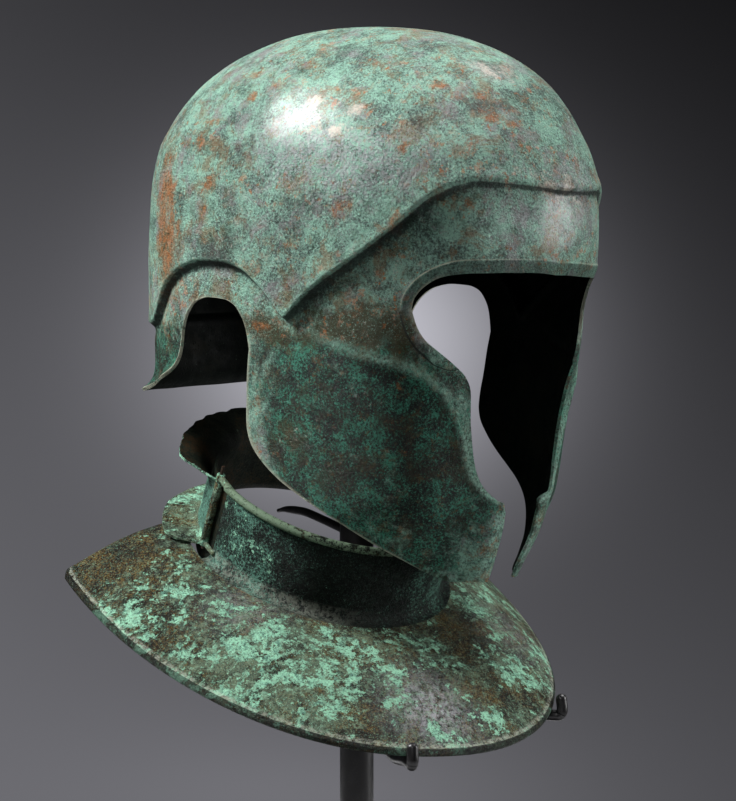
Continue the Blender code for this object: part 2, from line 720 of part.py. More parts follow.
def radius_height(back):
    """The height of the crown's outer face over a point behind the apex."""
    heights = np.linspace(HELMET_HEIGHT * 0.9, HELMET_HEIGHT, 400)
    reach = radii(heights)[2]
    return np.interp(-back, -reach, heights)


def build_rest(home, look):
    """A shallow cap that follows the crown's inside."""
    angles = np.arange(0, 360, 15.0)
    folded = np.where(angles > 180, 360 - angles, angles)
    inset = HELMET_SHEET + REST_GAP
    rows = []
    for height in (0.955, 0.968, 0.980, 0.990, 0.996):
        level = np.full(len(angles), height * HELMET_HEIGHT)
        ring = plain_point(folded, level) - outward(folded, level) * inset
        ring[:, 0] = np.where(angles > 180, -ring[:, 0], ring[:, 0])
        rows.append(ring)
    faces = grid_faces(len(rows), len(angles), closed=True)
    vertices = list(np.concatenate(rows))
    vertices.append((0.0, -0.0015, HELMET_HEIGHT - inset - 0.0002))
    last = (len(rows) - 1) * len(angles)
    faces += [(last + k, last + (k + 1) % len(angles), len(vertices) - 1)
              for k in range(len(angles))]
    cap = object_from("helmet_rest", vertices, faces, home, look)
    weld(cap)
    if cap.data.polygons[len(cap.data.polygons) - 1].normal.z < 0:
        cap.data.flip_normals()
    sheet = cap.modifiers.new("sheet", "SOLIDIFY")
    sheet.thickness = REST_SHEET
    sheet.offset = -1
    apply_modifiers(cap)
    weld(cap)
    move(cap, helmet_matrix())
    return cap


def build_cradle(home, cutters, look):
    """The hub on the post with its arms and the hooks that hold the gorget's edge."""
    hub_z = HELMET_LIFT - HUB_DROP
    bpy.ops.mesh.primitive_cylinder_add(vertices=32, radius=HUB_RADIUS, depth=HUB_HEIGHT,
                                        location=(0, 0, hub_z))
    cradle = take_active("gorget_cradle", home)
    cradle.data.materials.append(look)
    place = gorget_matrix()
    for turn in HOOK_TURNS:
        edge = place @ Vector(brim_edge(turn))
        aim = Vector((edge.x, edge.y, 0.0)).normalized()
        under = edge - Vector((0, 0, HOOK_UNDER))
        start = aim * (HUB_RADIUS - 0.003) + Vector((0, 0, hub_z))
        path = (start, edge - aim * 0.030 - Vector((0, 0, 0.0085)), under - aim * 0.004,
                under + aim * 0.0028, edge + aim * 0.0045 - Vector((0, 0, 0.0025)),
                edge + aim * 0.0038 + Vector((0, 0, 0.0050)))
        combine(cradle, rod("arm", path, HOOK_RADIUS, cutters))
    bpy.ops.mesh.primitive_cylinder_add(vertices=32, radius=POST_RADIUS + 0.0003, depth=0.04,
                                        location=(0, 0, hub_z))
    combine(cradle, take_active("bore", cutters), "DIFFERENCE")
    return cradle


def main():
    for old in list(bpy.data.objects):
        bpy.data.objects.remove(old)
    home = bpy.data.collections.new("helmet_and_gorget_on_stand")
    cutters = bpy.data.collections.new("cutters")
    bpy.context.scene.collection.children.link(home)
    bpy.context.scene.collection.children.link(cutters)
    green = material("bronze_green", PATINA, 0.6, 0.55)
    brown = material("bronze_brown", BROWN_PATINA, 0.6, 0.55)
    back = material("bronze_back", BROWN_PATINA, 0.6, 0.6)
    pin = material("pin_bronze", PIN_BROWN, 0.7, 0.6)
    black = material("stand_black", STAND_BLACK, 0.0, 0.4)
    build_helmet(home, green)
    build_gorget_front(home, cutters, brown)
    build_gorget_back(home, cutters, back)
    build_pin("hinge_pin_right", -1, home, pin)
    build_pin("closure_pin_left", 1, home, pin)
    build_stand(home, cutters, black)
    for made in home.objects:
        made.data.shade_smooth()
        made.data.set_sharp_from_angle(angle=math.radians(SHARP_ANGLE))


main()
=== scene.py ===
"""Dresses the solids of a bronze helmet and its gorget on a display stand.

The sheets are rebuilt as fine meshes from the same sizes as the solids, and each one gets a
patina that is worked out from places on the piece, with some shade, sheen and highlights painted
into its colour.
"""

import logging
import math
from dataclasses import dataclass
from enum import Enum, IntEnum
from typing import Callable, Sequence

import bpy
import numpy as np
from mathutils import Matrix, Vector

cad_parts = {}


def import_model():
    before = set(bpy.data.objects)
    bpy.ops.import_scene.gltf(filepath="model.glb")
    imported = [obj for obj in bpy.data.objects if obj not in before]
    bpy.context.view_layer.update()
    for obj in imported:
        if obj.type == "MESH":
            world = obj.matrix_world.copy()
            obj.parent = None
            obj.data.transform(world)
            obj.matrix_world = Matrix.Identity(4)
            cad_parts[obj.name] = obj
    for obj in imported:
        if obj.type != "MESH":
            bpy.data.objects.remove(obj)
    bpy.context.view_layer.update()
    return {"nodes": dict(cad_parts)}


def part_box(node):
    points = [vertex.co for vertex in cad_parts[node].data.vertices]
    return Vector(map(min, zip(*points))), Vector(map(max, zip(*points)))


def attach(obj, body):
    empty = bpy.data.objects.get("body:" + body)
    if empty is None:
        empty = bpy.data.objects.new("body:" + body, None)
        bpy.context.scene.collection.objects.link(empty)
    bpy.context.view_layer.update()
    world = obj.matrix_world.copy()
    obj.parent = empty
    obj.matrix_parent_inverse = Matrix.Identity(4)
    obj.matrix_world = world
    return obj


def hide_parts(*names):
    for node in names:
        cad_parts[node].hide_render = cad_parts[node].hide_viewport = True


LOG = logging.getLogger("helmet_scene")
Tone = tuple[float, float, float, float]
Socket = bpy.types.NodeSocket
Look = bpy.types.Material
# Faces that meet at more than this angle keep a sharp edge.
SHARP = math.radians(50)
# The view's focal length in pixels of the photograph's size.
FOCAL = 3000.0


# Curves, noise and grids that every piece uses.


def smoothstep(value: np.ndarray) -> np.ndarray:
    """Returns 0 to 1 with soft ends: three times the square less twice the cube."""
    value = np.clip(value, 0.0, 1.0)
    return value * value * (3 - 2 * value)


def bump(gap: np.ndarray, width: float) -> np.ndarray:
    """Returns a bell of height 1 at a gap of 0, which falls to 1/e at the width."""
    return np.exp(-((np.asarray(gap) / width) ** 2))


def monotone(xs: np.ndarray, ys: np.ndarray, at: np.ndarray) -> np.ndarray:
    """A cubic curve through points that never overshoots them.

    Each knot's slope is the weighted harmonic mean of its two neighbours' slopes.

    Args:
        xs: Rising places of the knots.
        ys: Values at the knots.
        at: Places to read.

    Returns:
        The curve's values at those places.
    """
    xs, ys, at = (np.asarray(v, float) for v in (xs, ys, at))
    gap = np.diff(xs)
    slope = np.diff(ys) / gap
    tangent = np.zeros(len(xs))
    same = slope[:-1] * slope[1:] > 0
    weight_a, weight_b = 2 * gap[1:] + gap[:-1], gap[1:] + 2 * gap[:-1]
    safe_a = np.where(same, slope[:-1], 1.0)
    safe_b = np.where(same, slope[1:], 1.0)
    inner = (weight_a + weight_b) / (weight_a / safe_a + weight_b / safe_b)
    tangent[1:-1] = np.where(same, inner, 0.0)
    tangent[0], tangent[-1] = slope[0], slope[-1]
    at = np.clip(at, xs[0], xs[-1])
    k = np.clip(np.searchsorted(xs, at, side="right") - 1, 0, len(xs) - 2)
    t = (at - xs[k]) / gap[k]
    return (
        ys[k] * (2 * t**3 - 3 * t**2 + 1)
        + gap[k] * tangent[k] * (t**3 - 2 * t**2 + t)
        + ys[k + 1] * (3 * t**2 - 2 * t**3)
        + gap[k] * tangent[k + 1] * (t**3 - t**2)
    )


def through(knots: np.ndarray, table: np.ndarray, at: np.ndarray) -> np.ndarray:
    """Returns each column of a table as a curve through the knots, read at places."""
    return np.column_stack([monotone(knots, column, at) for column in table.T])


def drawn(table: np.ndarray, column: int, at: np.ndarray) -> np.ndarray:
    """Returns one column of a table at places of its first column."""
    return monotone(table[:, 0], table[:, column], at)


def reach_along(points: np.ndarray) -> np.ndarray:
    """Returns how far along a broken line each of its points lies."""
    return np.concatenate([[0], np.cumsum(np.linalg.norm(np.diff(points, axis=0), axis=1))])


def lattice_noise(places: np.ndarray, size: float, seed: int) -> np.ndarray:
    """Smooth random values: hashed corner values of a cubic lattice, softly blended.

    Args:
        places: Points, the last axis being x, y and z.
        size: Edge of one lattice cell in metres.
        seed: Picks the pattern.

    Returns:
        Values from -1 to 1, one a point.
    """
    spot = places / size + seed * 7.31
    cell = np.floor(spot).astype(np.int64)
    part = smoothstep(spot - cell)
    total = np.zeros(places.shape[:-1])
    for corner in np.ndindex(2, 2, 2):
        x, y, z = (cell[..., k] + corner[k] for k in range(3))
        key = (x * 73856093) ^ (y * 19349663) ^ (z * 83492791) ^ (seed * 2654435)
        key = ((key ^ (key >> 13)) * 1274126177) & 0x7FFFFFFF
        weight = np.ones(total.shape)
        for k in range(3):
            weight = weight * (part[..., k] if corner[k] else 1 - part[..., k])
        total += weight * ((key >> 8 & 0xFFFF) / 32767.5 - 1)
    return total


def rough_noise(places: np.ndarray, size: float, seed: int, octaves: int = 3) -> np.ndarray:
    """Returns lattice noise summed over octaves, each half the size and half the height."""
    return sum(lattice_noise(places, size / 2**k, seed + k) * 0.5**k for k in range(octaves))


def line_gap(spot: np.ndarray, line: np.ndarray) -> np.ndarray:
    """Signed distance from flat points to a broken line.

    Each point takes its nearest straight run; the sign is the side of that run.

    Args:
        spot: Points, the last axis being two flat coordinates.
        line: The corners of the line, one row a corner.

    Returns:
        Distances, positive on the left of the line's direction.
    """
    best = np.full(spot.shape[:-1], 1e9)
    signed = np.zeros(spot.shape[:-1])
    for start, end in zip(line[:-1], line[1:]):
        along = end - start
        t = np.clip(((spot - start) @ along) / (along @ along), 0, 1)
        off = spot - (start + t[..., None] * along)
        far = np.linalg.norm(off, axis=-1)
        side = along[0] * off[..., 1] - along[1] * off[..., 0]
        closer = far < best
        signed = np.where(closer, np.where(side < 0, -far, far), signed)
        best = np.where(closer, far, best)
    return signed


def nearest(places: np.ndarray, edge: np.ndarray) -> np.ndarray:
    """Distance from each point to the closest of some edge points, in slices.

    Args:
        places: Points, one row a point.
        edge: Edge points, close together.

    Returns:
        One distance a point.
    """
    out = np.empty(len(places))
    for first in range(0, len(places), 2000):
        part = places[first:first + 2000]
        square = (part**2).sum(1)[:, None] + (edge**2).sum(1)[None] - 2 * part @ edge.T
        out[first:first + 2000] = np.sqrt(np.maximum(square.min(1), 0))
    return out


@dataclass
class Sheet:
    """A surface in the making: places, faces, and named values at each vertex."""

    places: np.ndarray
    faces: np.ndarray
    values: dict[str, np.ndarray]
    caps: tuple[tuple[int, ...], ...] = ()

    @staticmethod
    def grid(
        places: np.ndarray,
        values: dict[str, np.ndarray] | None = None,
        around: bool = False,
        keep: Callable[[np.ndarray, np.ndarray], np.ndarray] | None = None,
    ) -> "Sheet":
        """A sheet from a grid of points: one quad between each four neighbours.

        Args:
            places: Points as rows by columns by three.
            values: Named values as rows by columns.
            around: Whether the last column joins the first.
            keep: Tells from rows and columns which quads stay.

        Returns:
            The sheet, its quads wound row first.
        """
        rows, columns = places.shape[:2]
        last = columns if around else columns - 1
        r, c = np.meshgrid(np.arange(rows - 1), np.arange(last), indexing="ij")
        n = (c + 1) % columns
        quads = np.stack([r * columns + c, r * columns + n, (r + 1) * columns + n,
                          (r + 1) * columns + c], axis=-1)
        if keep is not None:
            quads = quads[keep(r, c)]
        flat = {name: np.asarray(v, float).reshape(-1) for name, v in (values or {}).items()}
        return Sheet(places.reshape(-1, 3), quads.reshape(-1, 4), flat)

    def joined(self, other: "Sheet") -> "Sheet":
        """Returns this sheet and another as one, values missing from either being 0."""
        shift = len(self.places)
        values = {
            name: np.concatenate([part.values.get(name, np.zeros(len(part.places)))
                                  for part in (self, other)])
            for name in {**self.values, **other.values}
        }
        caps = self.caps + tuple(tuple(k + shift for k in cap) for cap in other.caps)
        return Sheet(np.concatenate([self.places, other.places]),
                     np.concatenate([self.faces, other.faces + shift]), values, caps)

    def flipped(self) -> "Sheet":
        """Returns the sheet with its faces wound the other way."""
        return Sheet(self.places, self.faces[:, ::-1], self.values,
                     tuple(cap[::-1] for cap in self.caps))

    def mirrored(self) -> "Sheet":
        """Returns the sheet across the helmet's middle plane, still facing outwards."""
        other = self.flipped()
        other.places = self.places * [-1.0, 1.0, 1.0]
        return other

    def filled(self, **levels: float) -> "Sheet":
        """Returns the sheet with the same named values at all its vertices."""
        values = {name: np.full(len(self.places), level) for name, level in levels.items()}
        return Sheet(self.places, self.faces, values, self.caps)

    def made(self, name: str, looks: Sequence[Look]) -> bpy.types.Object:
        """Puts the sheet into a mesh object with smooth faces.

        Args:
            name: The object's name.
            looks: Its materials, in slot order.

        Returns:
            The new object, linked to the scene.
        """
        mesh = bpy.data.meshes.new(name)
        faces = self.faces.tolist() + [list(cap) for cap in self.caps]
        mesh.from_pydata(self.places.tolist(), [], faces)
        for key, value in self.values.items():
            layer = mesh.attributes.new(key, "FLOAT", "POINT")
            layer.data.foreach_set("value", value.astype(np.float32))
        made = bpy.data.objects.new(name, mesh)
        bpy.context.scene.collection.objects.link(made)
        for look in looks:
            mesh.materials.append(look)
        mesh.shade_smooth()
        return made


def turned(profile: np.ndarray, sides: int = 72) -> Sheet:
    """Returns a profile of reach and height turned round the upright axis."""
    turn = np.linspace(0, 2 * math.pi, sides, endpoint=False)
    ring = np.stack([profile[:, :1] * np.cos(turn), profile[:, :1] * np.sin(turn),
                     np.repeat(profile[:, 1:], sides, axis=1)], axis=-1)
    return Sheet.grid(ring, around=True)


def apply_modifiers(made: bpy.types.Object) -> None:
    """Puts the modifiers' result into the object's own mesh."""
    bpy.context.view_layer.update()
    graph = bpy.context.evaluated_depsgraph_get()
    mesh = bpy.data.meshes.new_from_object(made.evaluated_get(graph))
    made.modifiers.clear()
    old, made.data = made.data, mesh
    bpy.data.meshes.remove(old)
    mesh.name = made.name


def weld(made: bpy.types.Object, reach: float) -> None:
    """Merges points that are closer than the reach."""
    merge = made.modifiers.new("merge", "WELD")
    merge.merge_threshold = reach
    apply_modifiers(made)


def thicken(made: bpy.types.Object, sheet: float, side: float) -> None:
    """Gives a surface its wall; the new wall takes the second material.

    Args:
        made: The surface.
        sheet: Wall in metres.
        side: -1 puts the wall behind the faces, 1 in front of them.
    """
    wall = made.modifiers.new("wall", "SOLIDIFY")
    wall.thickness = sheet
    wall.offset = side
    wall.material_offset = 1
    wall.material_offset_rim = 0
    apply_modifiers(made)
    made.data.shade_smooth()
    made.data.set_sharp_from_angle(angle=SHARP)


def merged(parts: Sequence[bpy.types.Object]) -> None:
    """Joins objects into the first of them."""
    with bpy.context.temp_override(active_object=parts[0], object=parts[0],
                                   selected_objects=parts, selected_editable_objects=parts):
        bpy.ops.object.join()


def swept_bar(path: np.ndarray, radii: np.ndarray, sides: int) -> Sheet:
    """A round bar: a circle carried square to a path, its size changing along it.

    Args:
        path: Points along the middle line.
        radii: The circle's radius at each point.
        sides: Points round the circle.

    Returns:
        A closed sheet with a flat face at each end.
    """
    ahead = np.gradient(path, axis=0)
    ahead /= np.linalg.norm(ahead, axis=1, keepdims=True)
    across = np.cross(ahead, np.where(np.abs(ahead[:, 2:]) > 0.9, [[1.0, 0, 0]], [[0, 0, 1.0]]))
    across /= np.linalg.norm(across, axis=1, keepdims=True)
    other = np.cross(ahead, across)
    turn = np.linspace(0, 2 * math.pi, sides, endpoint=False)
    ring = across[:, None] * np.cos(turn)[None, :, None]
    ring = ring + other[:, None] * np.sin(turn)[None, :, None]
    bar = Sheet.grid(path[:, None] + ring * radii[:, None, None], around=True)
    rings = np.arange(len(bar.places)).reshape(-1, sides).tolist()
    return Sheet(bar.places, bar.faces, bar.values, (tuple(rings[0][::-1]), tuple(rings[-1])))


# Shader nodes.


def tone(red: int, green: int, blue: int) -> Tone:
    """Returns a screen colour of 0 to 255 as the light values that shaders take."""
    share = np.array([red, green, blue]) / 255.0
    linear = np.where(share <= 0.04045, share / 12.92, ((share + 0.055) / 1.055) ** 2.4)
    return (*[float(v) for v in linear], 1.0)


class Wiring:
    """Places nodes in one node tree and joins them, a short call a node."""

    def __init__(self, tree: bpy.types.NodeTree) -> None:
        """Keeps the tree that the nodes go into."""
        self.tree = tree

    def feed(self, socket: Socket, value: object) -> None:
        """Links a socket to another, or sets its plain value."""
        if isinstance(value, Socket):
            self.tree.links.new(value, socket)
        else:
            socket.default_value = value

    def add(self, kind: str, inputs: dict | None = None, **settings: object) -> bpy.types.Node:
        """Adds one node.

        Args:
            kind: The node's type name.
            inputs: Values or sockets by input name or number.
            settings: The node's own properties.

        Returns:
            The node.
        """
        node = self.tree.nodes.new(kind)
        for name, value in settings.items():
            setattr(node, name, value)
        for key, value in (inputs or {}).items():
            self.feed(node.inputs[key], value)
        return node

    def math(self, how: str, a: object, b: object = 0.0) -> Socket:
        """Returns the result of one sum on two values."""
        return self.add("ShaderNodeMath", {0: a, 1: b}, operation=how).outputs[0]

    def times(self, first: object, *others: object) -> Socket:
        """Returns the product of all the values."""
        for other in others:
            first = self.math("MULTIPLY", first, other)
        return first

    def plus(self, first: object, *others: object) -> Socket:
        """Returns the sum of all the values."""
        for other in others:
            first = self.math("ADD", first, other)
        return first

    def swing(self, value: object, reach: object) -> Socket:
        """Returns how far a value is from a half, stretched by the reach."""
        return self.times(self.math("SUBTRACT", value, 0.5), reach)

    def ramp(self, value: object, low: object, high: object, start: float = 0.0,
             end: float = 1.0) -> Socket:
        """Returns start below low, end above high, and a soft step between them."""
        node = self.add("ShaderNodeMapRange",
                        {"Value": value, "From Min": low, "From Max": high, "To Min": start,
                         "To Max": end}, interpolation_type="SMOOTHSTEP")
        return node.outputs["Result"]

    def strip(self, value: object, rise: tuple[float, float], fall: tuple[float, float]) -> Socket:
        """Returns 1 between a rising and a falling soft step, and 0 outside them."""
        return self.math("SUBTRACT", self.ramp(value, *rise), self.ramp(value, *fall))

    def noise(self, where: object, scale: object, detail: float = 4.0,
              rough: float = 0.6, twist: float = 0.0) -> Socket:
        """Returns fractal noise of about 0 to 1, its scale in cells a metre."""
        node = self.add("ShaderNodeTexNoise",
                        {"Vector": where, "Scale": scale, "Detail": detail,
                         "Roughness": rough, "Distortion": twist})
        return node.outputs["Fac"]

    def spots(self, where: object, scale: float, low: float, high: float, detail: float = 4.0,
              rough: float = 0.8, twist: float = 0.0) -> Socket:
        """Returns a mask where noise passes from low to high."""
        return self.ramp(self.noise(where, scale, detail, rough, twist), low, high)

    def blend(self, share: object, a: object, b: object, how: str = "MIX") -> Socket:
        """Returns two colours mixed by a share."""
        node = self.add("ShaderNodeMix", {0: share, 6: a, 7: b}, data_type="RGBA", blend_type=how)
        return node.outputs[2]

    def value(self, name: str) -> Socket:
        """Returns the piece's own vertex value of that name."""
        return self.add("ShaderNodeAttribute", attribute_name=name).outputs["Fac"]

    def shift(self, where: object, *move: float) -> Socket:
        """Returns coordinates moved aside, so that patterns differ."""
        return self.add("ShaderNodeMapping", {"Vector": where, "Location": move}).outputs[0]

    def use(self, group: bpy.types.NodeTree, *values: object) -> Socket:
        """Returns a shared group's output, its inputs set in order."""
        node = self.add("ShaderNodeGroup", node_tree=group)
        for socket, value in zip(node.inputs, values, strict=True):
            self.feed(socket, value)
        return node.outputs[0]


class Effects:
    """The node groups that several finishes share, each built once."""

    def __init__(self) -> None:
        """Builds the three groups."""
        self.mottle = self._mottle()
        self.broken = self._broken()
        self.grain = self._grain()

    @staticmethod
    def _new(name: str, inputs: dict[str, str], output: tuple[str, str]) -> tuple:
        """Makes an empty group.

        Args:
            name: The group's name.
            inputs: Type of each input by its name: Float, Vector or Color.
            output: Name and type of the output.

        Returns:
            The group, its wiring, its inputs in order and its output's socket.
        """
        tree = bpy.data.node_groups.new(name, "ShaderNodeTree")
        sockets = [(label, "INPUT", kind) for label, kind in inputs.items()]
        for label, way, kind in (*sockets, (output[0], "OUTPUT", output[1])):
            tree.interface.new_socket(name=label, in_out=way, socket_type="NodeSocket" + kind)
        wiring = Wiring(tree)
        given = wiring.add("NodeGroupInput").outputs
        return tree, wiring, [given[label] for label in inputs], wiring.add(
            "NodeGroupOutput").inputs[0]

    def _mottle(self) -> bpy.types.NodeTree:
        """Returns a group that scatters three tones by broad and fine noise."""
        tree, w, (where, light, middle, dark, scale, lift, broad, fine), out = self._new(
            "mottled tones",
            {"Vector": "Vector", "Light": "Color", "Middle": "Color", "Dark": "Color",
             "Scale": "Float", "Lift": "Float", "Broad": "Float", "Fine": "Float"},
            ("Color", "Color"))
        fields = w.plus(w.swing(w.noise(where, scale, 5.0, 0.62, 0.4), broad), 0.5)
        dust = w.swing(w.noise(where, 880.0, 4.0, 0.85), fine)
        total = w.plus(fields, dust, lift)
        colour = w.blend(w.ramp(total, 0.32, 0.50), dark, middle)
        w.feed(out, w.blend(w.ramp(total, 0.50, 0.68), colour, light))
        return tree

    def _broken(self) -> bpy.types.NodeTree:
        """Returns a group that gives a soft mask a ragged, crusty edge."""
        tree, w, (where, mask, scale, soft), out = self._new(
            "broken edge",
            {"Vector": "Vector", "Mask": "Float", "Scale": "Float", "Soft": "Float"},
            ("Mask", "Float"))
        crumb = w.noise(where, scale, 4.0, 0.65, 0.3)
        dust = w.noise(where, w.times(scale, 3.3), 5.0, 0.8)
        level = w.plus(mask, w.swing(crumb, 1.6), w.swing(dust, 1.5))
        w.feed(out, w.ramp(level, w.math("SUBTRACT", 0.5, soft), w.plus(0.5, soft)))
        return tree

    def _grain(self) -> bpy.types.NodeTree:
        """Returns a group that gives the corroded skin's height in metres."""
        tree, w, (where, coarse, fine, pits), out = self._new(
            "corroded grain",
            {"Vector": "Vector", "Coarse": "Float", "Fine": "Float", "Pits": "Float"},
            ("Height", "Float"))
        skin = w.plus(w.times(w.noise(where, 190.0, 5.0, 0.6), coarse),
                      w.times(w.noise(where, 760.0, 4.0, 0.75), fine))
        cells = w.add("ShaderNodeTexVoronoi", {"Vector": where, "Scale": 420.0})
        holes = w.times(w.ramp(cells.outputs["Distance"], 0.10, 0.34, 1.0, 0.0),
                        w.spots(w.shift(where, 3.1, 1.7, 0.4), 55.0, 0.52, 0.68, 3.0, 0.6), pits)
        w.feed(out, w.math("SUBTRACT", skin, holes))
        return tree


def new_material(name: str) -> tuple[Look, Wiring, bpy.types.Node, Socket]:
    """Returns a material, its wiring, its shader and the piece's own coordinates."""
    look = bpy.data.materials.new(name)
    look.use_nodes = True
    wiring = Wiring(look.node_tree)
    where = wiring.add("ShaderNodeTexCoord").outputs["Object"]
    return look, wiring, look.node_tree.nodes["Principled BSDF"], where


def finish(w: Wiring, shader: bpy.types.Node, colour: Socket, rough: Socket, height: Socket,
           plain: dict[str, float]) -> None:
    """Joins what varies over a surface to its shader, and sets what doesn't.

    Args:
        w: The material's wiring.
        shader: Its shader.
        colour: Base colour.
        rough: Roughness.
        height: Relief in metres.
        plain: Values of other sockets by their names.
    """
    relief = w.add("ShaderNodeBump", {"Height": height, "Strength": 1.0, "Distance": 1.0})
    for name, value in {"Base Color": colour, "Roughness": rough,
                        "Normal": relief.outputs[0], **plain}.items():
        w.feed(shader.inputs[name], value)


@dataclass(frozen=True)
class CrownPatina:
    """The helmet's outer skin: mint verdigris over grey-green, rust, dark fields partly of painted
    shade, painted sheen and highlights.
    """

    mint: Tone = tone(154, 202, 180)
    green: Tone = tone(116, 152, 138)
    slate: Tone = tone(64, 82, 74)
    tawny: Tone = tone(134, 98, 56)
    mauve: Tone = tone(150, 142, 146)
    moss: Tone = tone(66, 98, 76)
    teal_light: Tone = tone(64, 146, 120)
    teal: Tone = tone(21, 54, 42)
    teal_dark: Tone = tone(5, 8, 5)
    earth: Tone = tone(44, 40, 20)
    rust: Tone = tone(176, 104, 44)
    rust_dark: Tone = tone(84, 66, 30)
    pink: Tone = tone(190, 132, 98)
    olive: Tone = tone(60, 55, 18)
    soot: Tone = tone(44, 46, 42)
    bloom: Tone = tone(168, 170, 172)
    cream: Tone = tone(220, 210, 196)
    shade_and_dirt: Tone = tone(12, 24, 19)
    # The pale of worn edges, also used for painted highlights.
    edge: Tone = tone(190, 190, 168)

    def ground(self, w: Wiring, effects: Effects, where: Socket, deep_patina_and_shade: Socket) -> Socket:
        """Mixes the bright crown and the deep cheeks, each with patches of a second hue; the deep
        tones are partly painted shade.

        Args:
            w: The material's wiring.
            effects: The shared node groups.
            where: The piece's own coordinates.
            deep_patina_and_shade: Where the deep tones and the painted shade lie.

        Returns:
            The colour.
        """
        bright = w.use(effects.mottle, where, self.mint, self.green, self.slate,
                       72.0, 0.07, 1.35, 1.9)
        for move, scale, shade, share in (((6, 1, 4), 62.0, self.tawny, 0.68),
                                          ((2, 7, 8), 48.0, self.mauve, 0.65)):
            patch = w.spots(w.shift(where, *move), scale, 0.51, 0.61, 7.0, 0.78, 0.4)
            bright = w.blend(w.times(patch, share), bright, shade)
        deep = w.use(effects.mottle, w.shift(where, 0.3, 0.1, 0.7), self.teal_light, self.teal,
                     self.teal_dark, 80.0, -0.02, 1.5, 2.4)
        patch = w.spots(w.shift(where, 9, 4, 1), 46.0, 0.50, 0.58, 8.0, 0.8, 0.5)
        deep = w.blend(w.times(patch, 0.8), deep, self.earth)
        return w.blend(deep_patina_and_shade, bright, deep)

    def stains_and_painted_light(self, w: Wiring, effects: Effects, where: Socket, deep_patina_and_shade: Socket,
                colour: Socket) -> Socket:
        """Lays the stains, flecks and specks over the ground, with the painted sheen and
        highlights.

        Args:
            w: The material's wiring.
            effects: The shared node groups.
            where: The piece's own coordinates.
            deep_patina_and_shade: Where the deep tones and the painted shade lie.
            colour: The ground.

        Returns:
            The colour.
        """
        # Painted sheen, partly a grey-violet film: pale grey where the lights glance off the crown
        # and the brow.
        dapple = w.spots(w.shift(where, 4, 4, 1), 480.0, 0.38, 0.60)
        bloom = w.ramp(w.times(w.value("bloom"), dapple), 0.05, 0.95, 0.0, 0.8)
        colour = w.blend(bloom, colour, self.bloom)
        tan = w.blend(w.spots(where, 340.0, 0.36, 0.56, 5.0, 0.85), self.rust_dark, self.rust)
        for name, shade, scale, soft, share in (
            ("soot", self.soot, 150.0, 0.34, 0.8), ("olive", self.olive, 130.0, 0.36, 0.95),
            # glint lays near-white painted highlight spots.
            ("rust", tan, 115.0, 0.30, 0.85), ("cream", self.cream, 200.0, 0.2, 0.8),
        ):
            mask = w.use(effects.broken, w.shift(where, scale * 0.01, 0.2, 0.5),
                         w.times(w.value(name), 0.84), scale, soft)
            colour = w.blend(w.times(mask, share), colour, shade)
        moss = w.spots(w.shift(where, 1, 8, 6), 105.0, 0.53, 0.63, 6.0, 0.75, 0.3)
        # Fewer moss patches where the painted sheen lies.
        moss = w.times(moss, w.ramp(w.value("bloom"), 0.1, 0.7, 0.5, 0.05))
        colour = w.blend(moss, colour, w.blend(deep_patina_and_shade, self.moss, self.teal_dark))
        field = w.spots(w.shift(where, 2, 9, 4), 30.0, 0.38, 0.56, 3.0, 0.6)
        for move, scale, low, shade, share in (((7, 3, 2), 150.0, 0.575, self.pink, 0.7),
                                               ((3, 5, 9), 240.0, 0.59, self.rust, 0.85)):
            fleck = w.spots(w.shift(where, *move), scale, low, low + 0.07, 5.0, 0.7)
            # Flecks are darker where the painted shade lies.
            shade = w.blend(deep_patina_and_shade, shade, self.rust_dark)
            colour = w.blend(w.times(fleck, field, share), colour, shade)
        # Fewer and darker specks where the painted shade lies.
        speck = w.times(w.spots(where, 1150.0, 0.56, 0.64, 3.0),
                        w.ramp(deep_patina_and_shade, 0.2, 0.9, 0.62, 0.45))
        colour = w.blend(speck, colour, w.blend(deep_patina_and_shade, self.mint, self.teal_light))
        # Fewer dark dots where the highlights fall, which paints them a little brighter.
        dots = w.times(w.spots(w.shift(where, 5, 2, 1), 950.0, 0.55, 0.64),
                       w.ramp(w.value("gloss"), 0.0, 0.8, 0.72, 0.25))
        return w.blend(dots, colour, self.teal_dark)

    def edged(self, w: Wiring, effects: Effects, where: Socket, colour: Socket) -> Socket:
        """Lays on what follows the form: crests with wear and painted highlight, the eyes' band
        with painted shade and a painted highlight line, painted shade and dirt under the raised
        line, and worn edges with painted highlight.

        Args:
            w: The material's wiring.
            effects: The shared node groups.
            where: The piece's own coordinates.
            colour: The stained ground.

        Returns:
            The colour.
        """
        # Pale crests: wear, and painted highlight along the cheek's crest and the raised line's
        # upper lip.
        crest_wear_and_highlight = w.times(w.value("crest_wear_and_highlight"), w.spots(where, 560.0, 0.36, 0.58), 0.85)
        colour = w.blend(crest_wear_and_highlight, colour, self.mint)
        rim, seam = w.value("rim"), w.value("seam")
        # Painted shade: the band round the eyes, turned inwards, is darkened on the brow's side.
        band = w.times(w.ramp(rim, 4.5, 5.3, 0.55, 0.0), w.ramp(seam, -1.0, 0.2))
        colour = w.blend(band, colour, self.teal)
        # Painted highlight: a thin pale line along the band's upper edge.
        line = w.times(w.strip(rim, (4.9, 5.3), (5.3, 5.8)), w.value("line_highlight"))
        colour = w.blend(line, colour, self.edge)
        # Painted shade: a dark line below the band's step on the cheek's side.
        under = w.times(w.strip(rim, (4.9, 5.4), (5.7, 6.4)), w.ramp(seam, -1.0, 0.0, 0.9, 0.0))
        colour = w.blend(under, colour, self.shade_and_dirt)
        # Painted shade and dirt under the raised line.
        shade_and_dirt = w.use(effects.broken, where, w.value("shade_and_dirt"), 300.0, 0.34)
        colour = w.blend(w.times(shade_and_dirt, 0.85), colour, self.shade_and_dirt)
